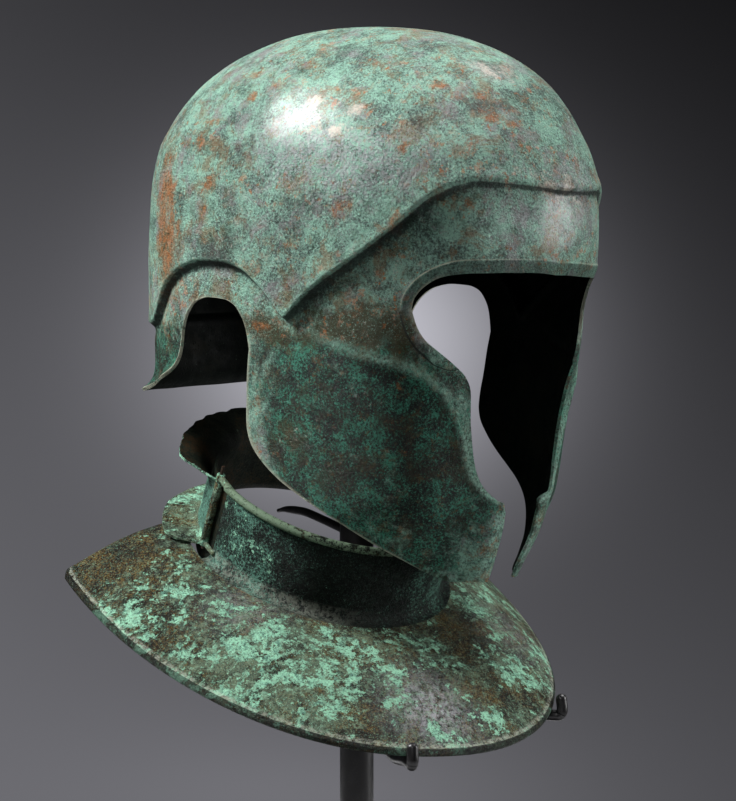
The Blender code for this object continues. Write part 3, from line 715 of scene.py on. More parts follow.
        # Worn edges, made paler also as painted highlight where the light meets them.
        wear_and_highlight = w.times(w.value("wear_and_highlight"), w.spots(where, 300.0, 0.25, 0.5, 3.0, 0.6), 0.8)
        return w.blend(wear_and_highlight, colour, self.edge)

    def material(self, effects: Effects) -> Look:
        """Builds the material.

        Args:
            effects: The shared node groups.

        Returns:
            A material that reads the shell's own vertex values.
        """
        look, w, shader, where = new_material("helmet verdigris")
        deep_patina_and_shade = w.use(effects.broken, where, w.value("deep_patina_and_shade"), 110.0, 0.36)
        colour = self.ground(w, effects, where, deep_patina_and_shade)
        colour = self.stains_and_painted_light(w, effects, where, deep_patina_and_shade, colour)
        colour = self.edged(w, effects, where, colour)
        gloss = w.value("gloss")
        rough = w.ramp(w.noise(where, 420.0, 4.0, 0.8), 0.36, 0.62, 0.44, 0.66)
        rough = w.math("SUBTRACT", rough, w.ramp(gloss, 0.0, 1.0, 0.0, 0.24))
        crust = w.use(effects.broken, where, w.value("crust"), 260.0, 0.25)
        height = w.use(effects.grain, where, 0.0019, 0.0025, 0.0011)
        height = w.plus(w.times(height, w.ramp(gloss, 0.0, 1.0, 1.0, 0.35)),
                        w.times(crust, 0.00080), w.ramp(w.value("rim"), 5.0, 5.5, 0.0004, 0.0))
        w.feed(shader.inputs["Coat Weight"], w.ramp(gloss, 0.0, 1.0, 0.0, 0.45))
        finish(w, shader, colour, rough, height,
               {"Metallic": 0.10, "Specular IOR Level": 0.36, "Coat Roughness": 0.30})
        return look


@dataclass(frozen=True)
class InnerPatinaAndShade:
    """The inside of a bronze sheet, dark green-black with faint brown streaks, kept near black as
    painted shade inside the piece.
    """

    name: str
    dark: Tone = tone(2, 5, 4)
    green: Tone = tone(9, 16, 13)
    brown: Tone = tone(18, 18, 11)
    hem: Tone = tone(106, 126, 104)

    def material(self, effects: Effects) -> Look:
        """Returns the material, built with the shared node groups."""
        look, w, shader, where = new_material(self.name)
        colour = w.use(effects.mottle, where, self.brown, self.green, self.dark,
                       50.0, -0.02, 1.0, 1.4)
        hem = w.use(effects.broken, where, w.value("hem"), 340.0, 0.14)
        finish(w, shader, w.blend(w.times(hem, 0.85), colour, self.hem),
               w.ramp(w.noise(where, 150.0), 0.3, 0.7, 0.5, 0.75),
               w.use(effects.grain, where, 0.0003, 0.00012, 0.0002),
               {"Specular IOR Level": 0.06})
        return look


@dataclass(frozen=True)
class GorgetPatina:
    """The gorget's outer skin: brown bronze with flakes of mint and painted sheen, and a dark
    collar that is partly painted shade.
    """

    brown: Tone = tone(52, 36, 11)
    umber: Tone = tone(13, 10, 5)
    grey: Tone = tone(98, 78, 34)
    film_and_sheen: Tone = tone(178, 176, 182)
    mint: Tone = tone(156, 214, 182)
    sage: Tone = tone(116, 138, 114)
    dark_patina_and_shade: Tone = tone(1, 5, 3)
    blue: Tone = tone(12, 25, 21)
    jade: Tone = tone(84, 128, 112)
    # The pale of worn edges, also used for painted highlights.
    edge: Tone = tone(186, 192, 176)

    def ground(self, w: Wiring, effects: Effects, where: Socket, wall: Socket) -> Socket:
        """Mixes the brim's brown, sage, grey film and painted sheen, and the collar's dark wall
        with its painted shade.

        Args:
            w: The material's wiring.
            effects: The shared node groups.
            where: The piece's own coordinates.
            wall: 1 on the collar's wall and 0 on the brim.

        Returns:
            The colour.
        """
        earth = w.use(effects.mottle, where, self.grey, self.brown, self.umber,
                      70.0, -0.11, 1.5, 3.0)
        sage = w.use(effects.broken, w.shift(where, 0.4, 0.9, 0.2), w.value("sage"), 80.0, 0.26)
        colour = w.blend(w.times(sage, 0.55), earth, self.sage)
        # Painted sheen, partly a grey-violet film, where the overhead light glances off the brim.
        film_and_sheen = w.spots(w.shift(where, 6, 6, 2), 300.0, 0.36, 0.62, 5.0)
        colour = w.blend(w.times(w.value("film_and_sheen"), film_and_sheen, 0.85), colour, self.film_and_sheen)
        # The collar wall: its dark patina, made darker still as painted shade, lifted towards the
        # sides by tint.
        dark = w.use(effects.mottle, w.shift(where, 1.4, 0.2, 0.2), self.jade, self.blue,
                     self.dark_patina_and_shade, 60.0, w.value("tint"), 1.0, 1.8)
        return w.blend(w.ramp(wall, 0.25, 0.75), colour, dark)

    def material(self, effects: Effects) -> Look:
        """Returns the material, built with the shared node groups."""
        look, w, shader, where = new_material("gorget bronze")
        wall = w.value("wall")
        colour = self.ground(w, effects, where, wall)
        flake = w.use(effects.broken, w.shift(where, 2.2, 0.1, 1.2), w.value("flake"),
                      72.0, 0.04)
        tint = w.spots(where, 260.0, 0.34, 0.54)
        colour = w.blend(w.times(flake, 0.92), colour, w.blend(tint, self.jade, self.mint))
        chips = w.times(w.spots(w.shift(where, 8, 3, 7), 300.0, 0.545, 0.565, 5.0, 0.75),
                        w.ramp(w.value("sage"), 0.1, 0.6, 0.15, 0.95),
                        w.ramp(wall, 0.2, 0.8, 0.85, 0.12))
        colour = w.blend(chips, colour, w.blend(tint, self.mint, self.sage))
        dots = w.spots(w.shift(where, 5, 2, 1), 900.0, 0.54, 0.61)
        colour = w.blend(w.times(dots, 0.9), colour, self.umber)
        pale = w.times(w.spots(w.shift(where, 1, 7, 3), 1200.0, 0.56, 0.65, 3.0),
                       w.ramp(wall, 0.2, 0.8, 0.34, 0.08))
        colour = w.blend(pale, colour, self.mint)
        # Painted shade near black beside the hinge slot, and darker along the brim's rolled edge.
        colour = w.blend(w.value("shade_and_dirt"), colour, self.dark_patina_and_shade)
        # Wear, with painted highlight on the fillet and the brim's inner edge line.
        wear_and_highlight = w.times(w.value("wear_and_highlight"), w.spots(where, 420.0, 0.42, 0.56))
        rough = w.ramp(w.noise(where, 420.0, 4.0, 0.8), 0.36, 0.62, 0.34, 0.58)
        grain = w.use(effects.grain, where, 0.0008, 0.0011, 0.0005)
        finish(w, shader, w.blend(wear_and_highlight, colour, self.edge),
               w.plus(rough, w.ramp(wall, 0.2, 0.8, 0.0, 0.16)),
               w.plus(grain, w.times(flake, 0.00035)),
               {"Metallic": 0.10, "Specular IOR Level": 0.20})
        return look


@dataclass(frozen=True)
class PlainCoat:
    """A single-tone coat with fine texture, for the stand and the pins."""

    name: str
    light: Tone
    dark: Tone
    roughness: float
    metallic: float
    relief: float

    def material(self, effects: Effects) -> Look:
        """Returns the material, built with the shared node groups."""
        look, w, shader, where = new_material(self.name)
        finish(w, shader,
               w.use(effects.mottle, where, self.light, self.dark, self.dark,
                     90.0, 0.0, 1.0, 0.8),
               w.ramp(w.noise(where, 260.0), 0.3, 0.7, self.roughness - 0.05,
                      self.roughness + 0.06),
               w.times(w.noise(where, 1400.0, 3.0), self.relief), {"Metallic": self.metallic})
        return look


# The helmet.


class StainAndLight(Enum):
    """The kinds of patch on the helmet's skin, by vertex value: stains, painted sheen and painted
    highlight.
    """

    RUST = "rust"
    OLIVE = "olive"
    SOOT = "soot"
    BLOOM = "bloom"
    CREAM = "cream"
    CRUST = "crust"
    GLOSS = "gloss"


@dataclass(frozen=True)
class Patch:
    """One patch of any kind, stains and painted light alike: where it is on the helmet in
    millimetres, and how far it reaches.
    """

    x: float
    y: float
    z: float
    wide: float
    tall: float
    strength: float

    def mask(self, places: np.ndarray) -> np.ndarray:
        """Returns its strength at points: a bell over the wide and the tall reach."""
        off = places * 1000 - [self.x, self.y, self.z]
        flat = (off[..., 0] ** 2 + off[..., 1] ** 2) / self.wide**2
        return self.strength * np.exp(-(flat + off[..., 2] ** 2 / self.tall**2))


# Each kind's patches: x, y and z, then the wide and the tall reach, and the strength.
PATCHES = {
    StainAndLight.RUST: (
        (-78, 62, 182, 12, 30, 0.86), (-83, 56, 150, 10, 26, 0.82), (-74, 67, 125, 6, 14, 0.7),
        (-89, 20, 187, 5, 5, 1.0), (-89, 26, 176, 4, 9, 0.85), (-83, -53, 174, 6, 4, 0.85),
        (-80, -60, 178, 6, 2, 0.8), (-71, -78, 168, 4, 6, 1.0), (-41, -78, 231, 5, 3, 0.85),
        (-39, -84, 225, 5, 3, 0.85), (-28, -90, 226, 4, 2.5, 0.8), (-29, -99, 216, 6, 2.5, 0.85),
        (-19, -104, 213, 6, 2.2, 0.85), (-55, -89, 205, 4, 4, 0.9), (-65, -77, 203, 4, 3, 1.0),
        (-47, -101, 178, 3.5, 3, 1.1), (-43, -105, 174, 3, 2.5, 1.0), (-64, 17, 237, 7, 3, 0.85),
        (-70, -3, 232, 6, 4, 0.8), (-74, 8, 226, 5, 4, 0.75), (-66, -55, 222, 8, 2.5, 0.8),
        (-86, -34, 188, 3, 3, 0.8), (38, -104, 197, 3, 14, 0.6), (-86, -30, 182, 3, 3, 0.7),
        (-89, -12, 121, 9, 2.5, 0.75), (-76, -56, 128, 8, 2.5, 0.8), (-90, 24, 160, 5, 3, 0.8),
        (-88, -30, 158, 4, 3, 0.8), (-78, 30, 215, 7, 2.5, 0.85), (-82, 34, 204, 4, 5, 0.8),
    ),
    StainAndLight.OLIVE: (
        (-85, -36, 134, 12, 8, 0.55), (-81, -48, 125, 11, 7, 0.6), (-72, -66, 123, 13, 15, 1.0),
        (-82, -40, 118, 14, 7, 0.9), (-78, -55, 122, 10, 7, 0.7), (-87, -18, 117, 10, 8, 0.85),
        (-90, 10, 128, 9, 7, 0.6), (-82, 58, 158, 14, 38, 0.75), (-90, -8, 122, 12, 5, 0.9),
        (-64, -76, 118, 8, 14, 0.9), (-84, -22, 72, 16, 12, 0.6), (-72, -58, 60, 12, 9, 0.6),
    ),
    StainAndLight.SOOT: (
        (-91, 15, 155, 17, 11, 1.05), (-86, 1, 203, 8, 10, 0.75), (-87, -35, 179, 13, 8, 0.7),
        (-56, -80, 215, 9, 9, 0.75), (-30, -94, 222, 12, 9, 0.7), (-45, -27, 248, 14, 5, 0.7),
        (-20, -60, 250, 16, 5, 0.7), (45, -90, 205, 6, 18, 0.8),
    ),
    # Painted sheen on the crown and brow, partly a grey-violet film.
    StainAndLight.BLOOM: (
        (-84, -32, 202, 34, 22, 1.0), (-77, -62, 193, 20, 16, 0.8), (-1, -117, 170, 34, 14, 0.9),
        (-60, -84, 200, 18, 16, 0.7), (-86, 30, 150, 20, 18, 0.5), (15, -112, 190, 16, 14, 0.7),
    ),
    # Painted highlight: near-white spots where the lights glint on the crown and the brow.
    StainAndLight.CREAM: (
        (-69, -52, 220, 5, 6, 0.75), (-76, -46, 211, 9, 3, 0.8), (-12, -117, 185, 8, 3, 0.7),
        (-27, -112, 193, 5, 4, 0.5), (-73, -30, 224, 8, 4, 0.7), (-79, -33, 213, 5, 7, 0.7),
    ),
    StainAndLight.CRUST: (
        (-87, -22, 156, 14, 14, 0.9), (-84, -44, 160, 12, 10, 0.9), (-74, -70, 152, 12, 9, 0.7),
        (-80, -50, 150, 16, 10, 0.7),
    ),
    StainAndLight.GLOSS: (
        (-70, -30, 222, 26, 20, 1.0), (-78, -52, 203, 22, 16, 0.6), (0, -117, 170, 42, 13, 1.0),
        (-30, -112, 162, 20, 9, 0.5),
    ),
}

# (height share, front share of length, half-width share of width, back share of length)
SECTIONS = np.array((
    (0.000, 0.345, 0.363, 0.471), (0.077, 0.370, 0.407, 0.475), (0.154, 0.389, 0.434, 0.483),
    (0.230, 0.401, 0.453, 0.492), (0.307, 0.414, 0.467, 0.498), (0.384, 0.433, 0.478, 0.502),
    (0.461, 0.458, 0.489, 0.504), (0.537, 0.479, 0.497, 0.504), (0.614, 0.492, 0.500, 0.502),
    (0.691, 0.496, 0.497, 0.496), (0.768, 0.477, 0.481, 0.479), (0.825, 0.445, 0.448, 0.447),
    (0.883, 0.397, 0.393, 0.395), (0.929, 0.332, 0.324, 0.324), (0.967, 0.244, 0.234, 0.229),
    (0.990, 0.147, 0.143, 0.134), (1.000, 0.000, 0.000, 0.000),
))
# (angle from the front in degrees, height share, angle at the raised line)
BROW_EDGE = np.array((
    (0, 0.558, 0), (6, 0.560, 6), (13, 0.561, 12.5), (21, 0.562, 20), (28, 0.562, 26.5),
    (33.5, 0.560, 31.5), (37.5, 0.555, 35.5), (40.5, 0.544, 38.7), (42.6, 0.530, 41.3),
    (43.8, 0.514, 43.4), (44.0, 0.499, 45.6),
))
CHEEK_ROOT = np.array((47.6, 49.2, 55, 61, 67, 72, 76.6, 81, 85, 88.5))
CHEEK_ROOT_BACK = 0.422
EAR_EDGE = np.array((
    (88.8, 0.438, 90.5), (89.5, 0.461, 93), (91.2, 0.487, 95.5), (93, 0.501, 98),
    (96, 0.509, 100.5), (101.2, 0.511, 103), (106.1, 0.504, 105.5), (109, 0.491, 108),
    (111.3, 0.472, 110.5), (112.8, 0.449, 113), (113.8, 0.419, 115.5), (115.2, 0.392, 118),
    (117.5, 0.372, 121), (120.4, 0.359, 124), (125, 0.345, 128), (132, 0.334, 134),
    (145, 0.324, 146), (160, 0.318, 160), (172, 0.315, 172), (180, 0.315, 180),
))
# (rear angle, rear height share, front angle, front height share) down the cheek
CHEEK_ROWS = np.array((
    (89.3, 0.392, 42.1, 0.469), (89.9, 0.361, 39.6, 0.446), (90.3, 0.334, 35.0, 0.423),
    (90.8, 0.306, 30.1, 0.400), (91.0, 0.280, 26.3, 0.379), (90.3, 0.254, 24.1, 0.353),
    (87.5, 0.227, 23.0, 0.303), (82.0, 0.194, 22.0, 0.266), (76.0, 0.168, 20.7, 0.227),
    (69.5, 0.143, 18.4, 0.193), (62.8, 0.118, 15.0, 0.171), (57.0, 0.096, 10.4, 0.155),
    (51.0, 0.074, 7.1, 0.147), (44.0, 0.051, 6.3, 0.111), (37.0, 0.029, 6.6, 0.065),
    (31.0, 0.013, 7.1, 0.027), (26.0, 0.004, 8.0, 0.002),
))
# (angle, height share, step in metres, width of the dark band of painted shade and dirt below it in
# millimetres) of the raised line
CROWN_LINE = np.array((
    (0, 0.706, 0.0022, 1.8), (10, 0.710, 0.0022, 2.0), (20, 0.716, 0.0022, 2.6),
    (29, 0.720, 0.0024, 3.6), (35, 0.712, 0.0026, 4.6), (42, 0.689, 0.0030, 5.6),
    (50, 0.637, 0.0034, 6.2), (60, 0.581, 0.0038, 5.8), (68, 0.538, 0.0041, 5.0),
    (73, 0.504, 0.0043, 3.6), (76.6, 0.478, 0.0044, 1.4), (80, 0.506, 0.0040, 0.9),
    (85, 0.540, 0.0034, 1.4), (90, 0.564, 0.0030, 3.4), (96, 0.575, 0.0030, 4.6),
    (103, 0.575, 0.0030, 5.0), (109, 0.566, 0.0030, 4.8), (115, 0.548, 0.0030, 4.2),
    (120, 0.524, 0.0030, 3.6), (125, 0.489, 0.0030, 3.0), (131, 0.455, 0.0028, 2.6),
    (138, 0.446, 0.0026, 2.2), (150, 0.444, 0.0026, 2.0), (180, 0.444, 0.0026, 2.0),
))
# (angle, height share) of the soft step down the cheek
CHEEK_LINE = np.array((
    (72, 0.461), (60, 0.428), (53, 0.416), (45, 0.401), (38, 0.381), (32, 0.352),
    (27.6, 0.312), (25, 0.267), (23.5, 0.231), (21.8, 0.203), (17.8, 0.175), (12.6, 0.157),
))


@dataclass
class HelmetShell:
    """The one-sheet helmet: crown, brow, neck edge and the two fixed cheeks.

    The lip and the groove beside the raised line are given as a share of its step, metres
    above it, and their reach; the beaten unevenness as height, size and pattern.
    """

    length: float = 0.238
    width: float = 0.182
    height: float = 0.2605
    wall: float = 0.0015
    plan_power: float = 2.1
    flare_reach: float = 0.0075
    flare_height: float = 0.009
    band_raise: float = 0.0005
    cheek_swell: float = 0.0012
    sag: float = 0.005
    step_half: float = 0.0019
    step_fade: float = 0.028
    lip: tuple[float, float, float] = (0.14, 0.0032, 0.0022)
    groove: tuple[float, float, float] = (-0.20, -0.0036, 0.0022)
    beaten: tuple[tuple[float, float, int], ...] = ((0.00030, 0.038, 3), (0.00010, 0.011, 8))
    spacing: float = 0.0019
    line_half: float = 0.0034
    rows_below: int = 20
    rows_across: int = 11
    rows_over: int = 72
    lift: float = 0.190
    forward: float = 0.010

    def plain(self, angle: np.ndarray, height: np.ndarray) -> np.ndarray:
        """The bare form: a level section is a rounded oval of power 2.1.

        Its front, side and back reach come from the sections by a curve through their
        squares, so that the top closes round.

        Args:
            angle: Degrees from the front.
            height: Metres above the cheek's tip.

        Returns:
            Points with x to the wearer's left before mirroring.
        """
        turn = np.radians(np.asarray(angle, float))
        height = np.asarray(height, float)
        share = np.clip(height / self.height, 0, 1)
        front, side, back = (
            np.sqrt(np.maximum(monotone(SECTIONS[:, 0], SECTIONS[:, k] ** 2, share), 0))
            for k in (1, 2, 3)
        )
        cos, sin = np.cos(turn), np.sin(turn)
        reach = (np.abs(cos) ** self.plan_power + np.abs(sin) ** self.plan_power) ** (
            -1 / self.plan_power)
        y = np.where(cos > 0, -front * cos, -back * cos) * reach * self.length
        x = np.where(np.abs(sin) < 1e-6, 0.0, side * sin * reach * self.width)
        return np.stack(np.broadcast_arrays(x, y, height), axis=-1)

    def outward(self, angle: np.ndarray, height: np.ndarray) -> np.ndarray:
        """Returns the bare form's unit normal, the cross product of two small steps."""
        cap = self.height * 0.985
        low = self.plain(angle, np.minimum(height, cap) - 0.0015)
        mid = self.plain(angle, np.minimum(height, cap))
        side = self.plain(angle + 0.6, height) - self.plain(angle - 0.6, height)
        normal = np.cross(side, mid - low)
        long = np.linalg.norm(normal, axis=-1, keepdims=True)
        level = self.plain(angle, height) * [1.0, 1.0, 0.0]
        flat = np.maximum(np.linalg.norm(level, axis=-1, keepdims=True), 1e-9)
        return np.where(long > 1e-12, normal / np.where(long > 1e-12, long, 1.0), level / flat)

    def gap_to(self, line: np.ndarray, angle: np.ndarray, height: np.ndarray) -> np.ndarray:
        """Returns signed metres to a drawn line, on the form rolled out flat."""
        arc = self.width / 2 * math.pi / 180
        spot = np.stack(np.broadcast_arrays(angle * arc, height), axis=-1)
        return line_gap(spot, line[:, :2] * [arc, self.height])

    def push(self, angle: np.ndarray, height: np.ndarray, rim: np.ndarray) -> np.ndarray:
        """How far relief moves the bare form outwards.

        The raised line is a soft step that fades away from it, with a lip above and a
        groove below. The cheek swells behind its own line. The neck edge flares. The band
        round the eyes stands proud. Slow noise gives beaten unevenness.

        Args:
            angle: Degrees from the front.
            height: Metres.
            rim: Millimetres to the eye opening's edge.

        Returns:
            Metres along the normal.
        """
        line = drawn(CROWN_LINE, 1, angle) * self.height
        step = drawn(CROWN_LINE, 2, angle)
        above = height - line
        relief = step * (smoothstep((above / self.step_half + 1) / 2) - 0.5)
        relief = relief * np.exp(-np.abs(above) / self.step_fade)
        for share, at, reach in (self.lip, self.groove):
            relief = relief + share * step * bump(above - at, reach)
        gap = self.gap_to(CHEEK_LINE, angle, height)
        fade = smoothstep((0.475 * self.height - height) / 0.02)
        swell = smoothstep(gap / 0.005 + 0.5) * np.exp(-np.maximum(gap, 0) / 0.03)
        relief = relief + self.cheek_swell * fade * swell
        relief = relief + 0.0010 * fade * bump(gap, 0.0030) * smoothstep((76 - angle) / 8)
        edge = drawn(EAR_EDGE, 1, angle) * self.height
        flare = smoothstep((angle - 113) / 8) * np.exp(
            -np.maximum(height - edge, 0) / (self.flare_height * 0.4))
        relief = relief + self.flare_reach * flare
        relief = relief + self.band_raise * smoothstep((6.0 - rim) / 1.2)
        relief = relief - 0.0012 * smoothstep((4.6 - rim) / 4.6)
        where = self.plain(angle, height)
        for tall, size, seed in self.beaten:
            relief = relief + tall * rough_noise(where, size, seed, 2)
        return relief * smoothstep((self.height - height) / 0.01 + 0.05)

    def stations(self) -> tuple[np.ndarray, np.ndarray, np.ndarray, int, int]:
        """Close columns along the crown's lower edge.

        Each run of the edge is cut into even lengths, and angle, height and the angle at
        the raised line follow curves through the run's own corners.

        Returns:
            Edge angles, edge heights, line angles, and the first and last root column.
        """
        start = BROW_EDGE[-1]
        span = CHEEK_ROOT[-1] - start[0]
        root = np.column_stack([
            CHEEK_ROOT, start[1] + (CHEEK_ROOT_BACK - start[1]) * (CHEEK_ROOT - start[0]) / span,
            CHEEK_ROOT])
        runs = (BROW_EDGE, np.vstack([start, root]), np.vstack([root[-1], EAR_EDGE]))
        parts, marks = [], []
        for run in runs:
            points = self.plain(run[:, 0], run[:, 1] * self.height)
            along = reach_along(points)
            count = int(math.ceil(along[-1] / self.spacing))
            part = through(along, run, np.linspace(0, along[-1], count + 1))
            parts.append(part[:-1] if run is not runs[-1] else part)
            marks.append(count)
        table = np.vstack(parts)
        return (table[:, 0], table[:, 1] * self.height, table[:, 2],
                marks[0], marks[0] + marks[1])

    def upper(self, edge: tuple) -> tuple[np.ndarray, np.ndarray]:
        """Angles and heights of the crown: rows from its lower edge to near the apex.

        Rows are even up to the raised line, close across it, and then follow a quarter
        circle so that they stay even as the top closes.

        Args:
            edge: What stations() gives.

        Returns:
            Angles and heights, rows by columns.
        """
        edge_angle, edge_height, line_angle = edge[:3]
        line = drawn(CROWN_LINE, 1, line_angle) * self.height
        low, high = line - self.line_half, line + self.line_half
        t = np.linspace(0, 1, self.rows_below)[:, None]
        below = edge_height + (low - edge_height) * t
        across = low + (high - low) * np.linspace(0, 1, self.rows_across)[1:, None]
        rise = np.sin(np.linspace(0, 1, self.rows_over)[1:-1, None] * math.pi / 2)
        over = high + (self.height - high) * rise
        angle_low = edge_angle + (line_angle - edge_angle) * t
        rest = np.repeat(line_angle[None], len(across) + len(over), axis=0)
        return np.vstack([angle_low, rest]), np.vstack([below, across, over])

    def cheek(self, edge: tuple) -> tuple[np.ndarray, np.ndarray]:
        """Angles and heights of the cheek: rows from its root to its tip.

        Args:
            edge: What stations() gives.

        Returns:
            Angles and heights, rows by columns, the first row on the crown's edge.
        """
        first, last = edge[3:]
        root = edge[0][first:last + 1]
        share = (root - root[0]) / (root[-1] - root[0])
        rows = np.vstack([[CHEEK_ROOT[-1], CHEEK_ROOT_BACK, *BROW_EDGE[-1][:2]], CHEEK_ROWS])
        along = np.concatenate([[0], np.cumsum(np.abs(np.diff(rows[:, 1])) * self.height
                                               + np.abs(np.diff(rows[:, 0])) * 0.0008)])
        at = np.linspace(0, along[-1], int(along[-1] / self.spacing) + 1)
        fine = through(along, rows, at)
        angle = fine[:, 2:3] + (fine[:, 0:1] - fine[:, 2:3]) * share
        height = (fine[:, 3:4] + (fine[:, 1:2] - fine[:, 3:4]) * share) * self.height
        height[0] = edge[1][first:last + 1]
        return angle, height

    def values(self, angle: np.ndarray, height: np.ndarray, where: np.ndarray,
               free: np.ndarray, rim: np.ndarray, seam: np.ndarray) -> dict[str, np.ndarray]:
        """The shell's vertex values, each worked out from its place.

        Args:
            angle: Degrees from the front.
            height: Metres.
            where: Points.
            free: Metres to the nearest open edge.
            rim: Millimetres to the eye opening's edge.
            seam: 1 on the brow's side of the eye, -1 on the cheek's.

        Returns:
            Named values of the angles' shape.
        """
        line = self.gap_to(CROWN_LINE, angle, height) * 1000
        band = drawn(CROWN_LINE, 3, angle)
        # Painted shade, with some dirt, in a dark band under the raised line's step.
        shade_and_dirt = 0.92 * np.exp(-(np.maximum(-line - 0.4, 0) / (0.75 * band)) ** 2)
        shade_and_dirt = shade_and_dirt * smoothstep((0.9 - line) / 0.9)
        gap = self.gap_to(CHEEK_LINE, angle, height) * 1000
        low = smoothstep((0.478 * self.height - height) / 0.012)
        crest_wear_and_highlight = low * bump(gap + 0.6, 2.0) * (0.45 + 0.4 * smoothstep((48 - angle) / 25))
        mouth = smoothstep((30 - angle) / 5) * bump(gap + 3.0, 4.5)
        crest_wear_and_highlight = np.maximum(crest_wear_and_highlight, 0.6 * mouth * low * smoothstep((height - 0.036) / 0.004))
        behind = smoothstep((gap - 0.5) / 4) * low
        rear = smoothstep((92 - angle) / 10) * smoothstep((height - 0.012) / 0.030)
        # Deep tones: the cheeks' own dark patina, darkened further as painted shade on the cheeks,
        # which face down and away from the lights.
        deep_patina_and_shade = (0.72 + 0.30 * behind * rear) * low
        beside = smoothstep((angle - 20) / 25) * smoothstep((118 - angle) / 8)
        deep_patina_and_shade = deep_patina_and_shade - 0.10 * smoothstep(-line / 6) * beside * (1 - low)
        neck = smoothstep((angle - 113) / 6) * smoothstep((0.435 * self.height - height) / 0.016)
        deep_patina_and_shade = deep_patina_and_shade + 0.32 * neck
        chin = smoothstep((32 - angle) / 12) * smoothstep((0.046 - height) / 0.020)
        deep_patina_and_shade = deep_patina_and_shade - 0.40 * low * chin
        deep_patina_and_shade = deep_patina_and_shade - 0.55 * bump(angle - 86, 7) * low
        # Painted highlight on the raised line's upper lip.
        lip = bump(line - 1.2, 1.0) * 0.7 * smoothstep((angle - 20) / 15)
        # Wear and painted highlight along the free edges away from the front.
        wear_and_highlight = smoothstep((0.0010 - free) / 0.0007) * smoothstep((angle - 33) / 12)
        # Painted highlight on the eye band's upper line, strongest where the light meets it.
        line_highlight = (0.35 + 0.65 * bump(angle - 40, 9)) * smoothstep((angle - 5) / 9)
        line_highlight = line_highlight * smoothstep(0.5 + 0.5 * seam)
        return {"shade_and_dirt": shade_and_dirt, "crest_wear_and_highlight": np.maximum(crest_wear_and_highlight, lip),
                "deep_patina_and_shade": deep_patina_and_shade, "wear_and_highlight": wear_and_highlight, "rim": rim, "seam": seam, "line_highlight": line_highlight}

    def half(self) -> Sheet:
        """Returns one half of the outer skin with its vertex values."""
        edge = self.stations()
        grids = (self.upper(edge), self.cheek(edge))
        first, last = edge[3:]
        cheek_angle, cheek_height = grids[1]
        front = self.plain(cheek_angle[:, 0], cheek_height[:, 0])
        eye_rows = int(np.searchsorted(-cheek_height[:, 0], -0.400 * self.height))
        rim_line = np.vstack([self.plain(edge[0][:first + 1], edge[1][:first + 1]),
                              front[:eye_rows]])
        free_line = np.vstack([
            rim_line, front, self.plain(edge[0][last:], edge[1][last:]),
            self.plain(cheek_angle[:, -1], cheek_height[:, -1]),
            self.plain(cheek_angle[-1], cheek_height[-1]),
        ])
        sheets = []
        for angle, height in grids:
            bare = self.plain(angle, height)
            rim = nearest(bare.reshape(-1, 3), rim_line).reshape(angle.shape) * 1000
            rim = rim + 9 * smoothstep((0.405 * self.height - height) / 0.008)
            rim = rim * (1 - 0.18 * smoothstep((41 - angle) / 8))
            free = nearest(bare.reshape(-1, 3), free_line).reshape(angle.shape)
            seam = np.clip((height / self.height - 0.505) / 0.02, -1, 1)
            places = bare + self.outward(angle, height) * self.push(angle, height, rim)[..., None]
            places[..., 0] = np.where(np.isin(angle, (0.0, 180.0)), 0.0, places[..., 0])
            sheets.append(Sheet.grid(
                places, self.values(angle, height, places, free, rim, seam)))
        crown, cheek = sheets
        columns = grids[0][0].shape[1]
        top = len(crown.places)
        apex = np.array([[0.0, self.plain(0.0, self.height)[1], self.height]])
        fill = {k: np.append(v, v[-1]) for k, v in crown.values.items()}
        caps = tuple((top - columns + c, top - columns + c + 1, top) for c in range(columns - 1))
        return Sheet(np.vstack([crown.places, apex]), crown.faces, fill, caps).joined(
            cheek.flipped())

    def sagged(self, places: np.ndarray) -> np.ndarray:
        """Bends the finished form a little, as the real one is.

        The left front sits lower. The chin runs to a blunt prow: the mouth's edges move out
        and forward, and the corners of the cheeks' tips tuck in and back.

        Args:
            places: Points, one row a point.

        Returns:
            The moved points.
        """
        x, y, z = places.T
        side = smoothstep((x + 0.020) / 0.070) * smoothstep(-y / 0.060)
        level = smoothstep((z - 0.060) / 0.070) * smoothstep((0.245 - z) / 0.060)
        way = np.sign(x) * smoothstep(-y / 0.030)
        prow = smoothstep((0.090 - z) / 0.035) * smoothstep((z + 0.004) / 0.030)
        prow = prow * smoothstep((0.034 - np.abs(x)) / 0.020)
        tuck = smoothstep((0.042 - z) / 0.040) * smoothstep((np.abs(x) - 0.010) / 0.024)
        shift = 0.0032 * prow - 0.0056 * tuck
        back = -0.0029 * prow + 0.0051 * tuck * (way != 0)
        return places + np.stack([way * shift, back, -self.sag * side * level], axis=1)

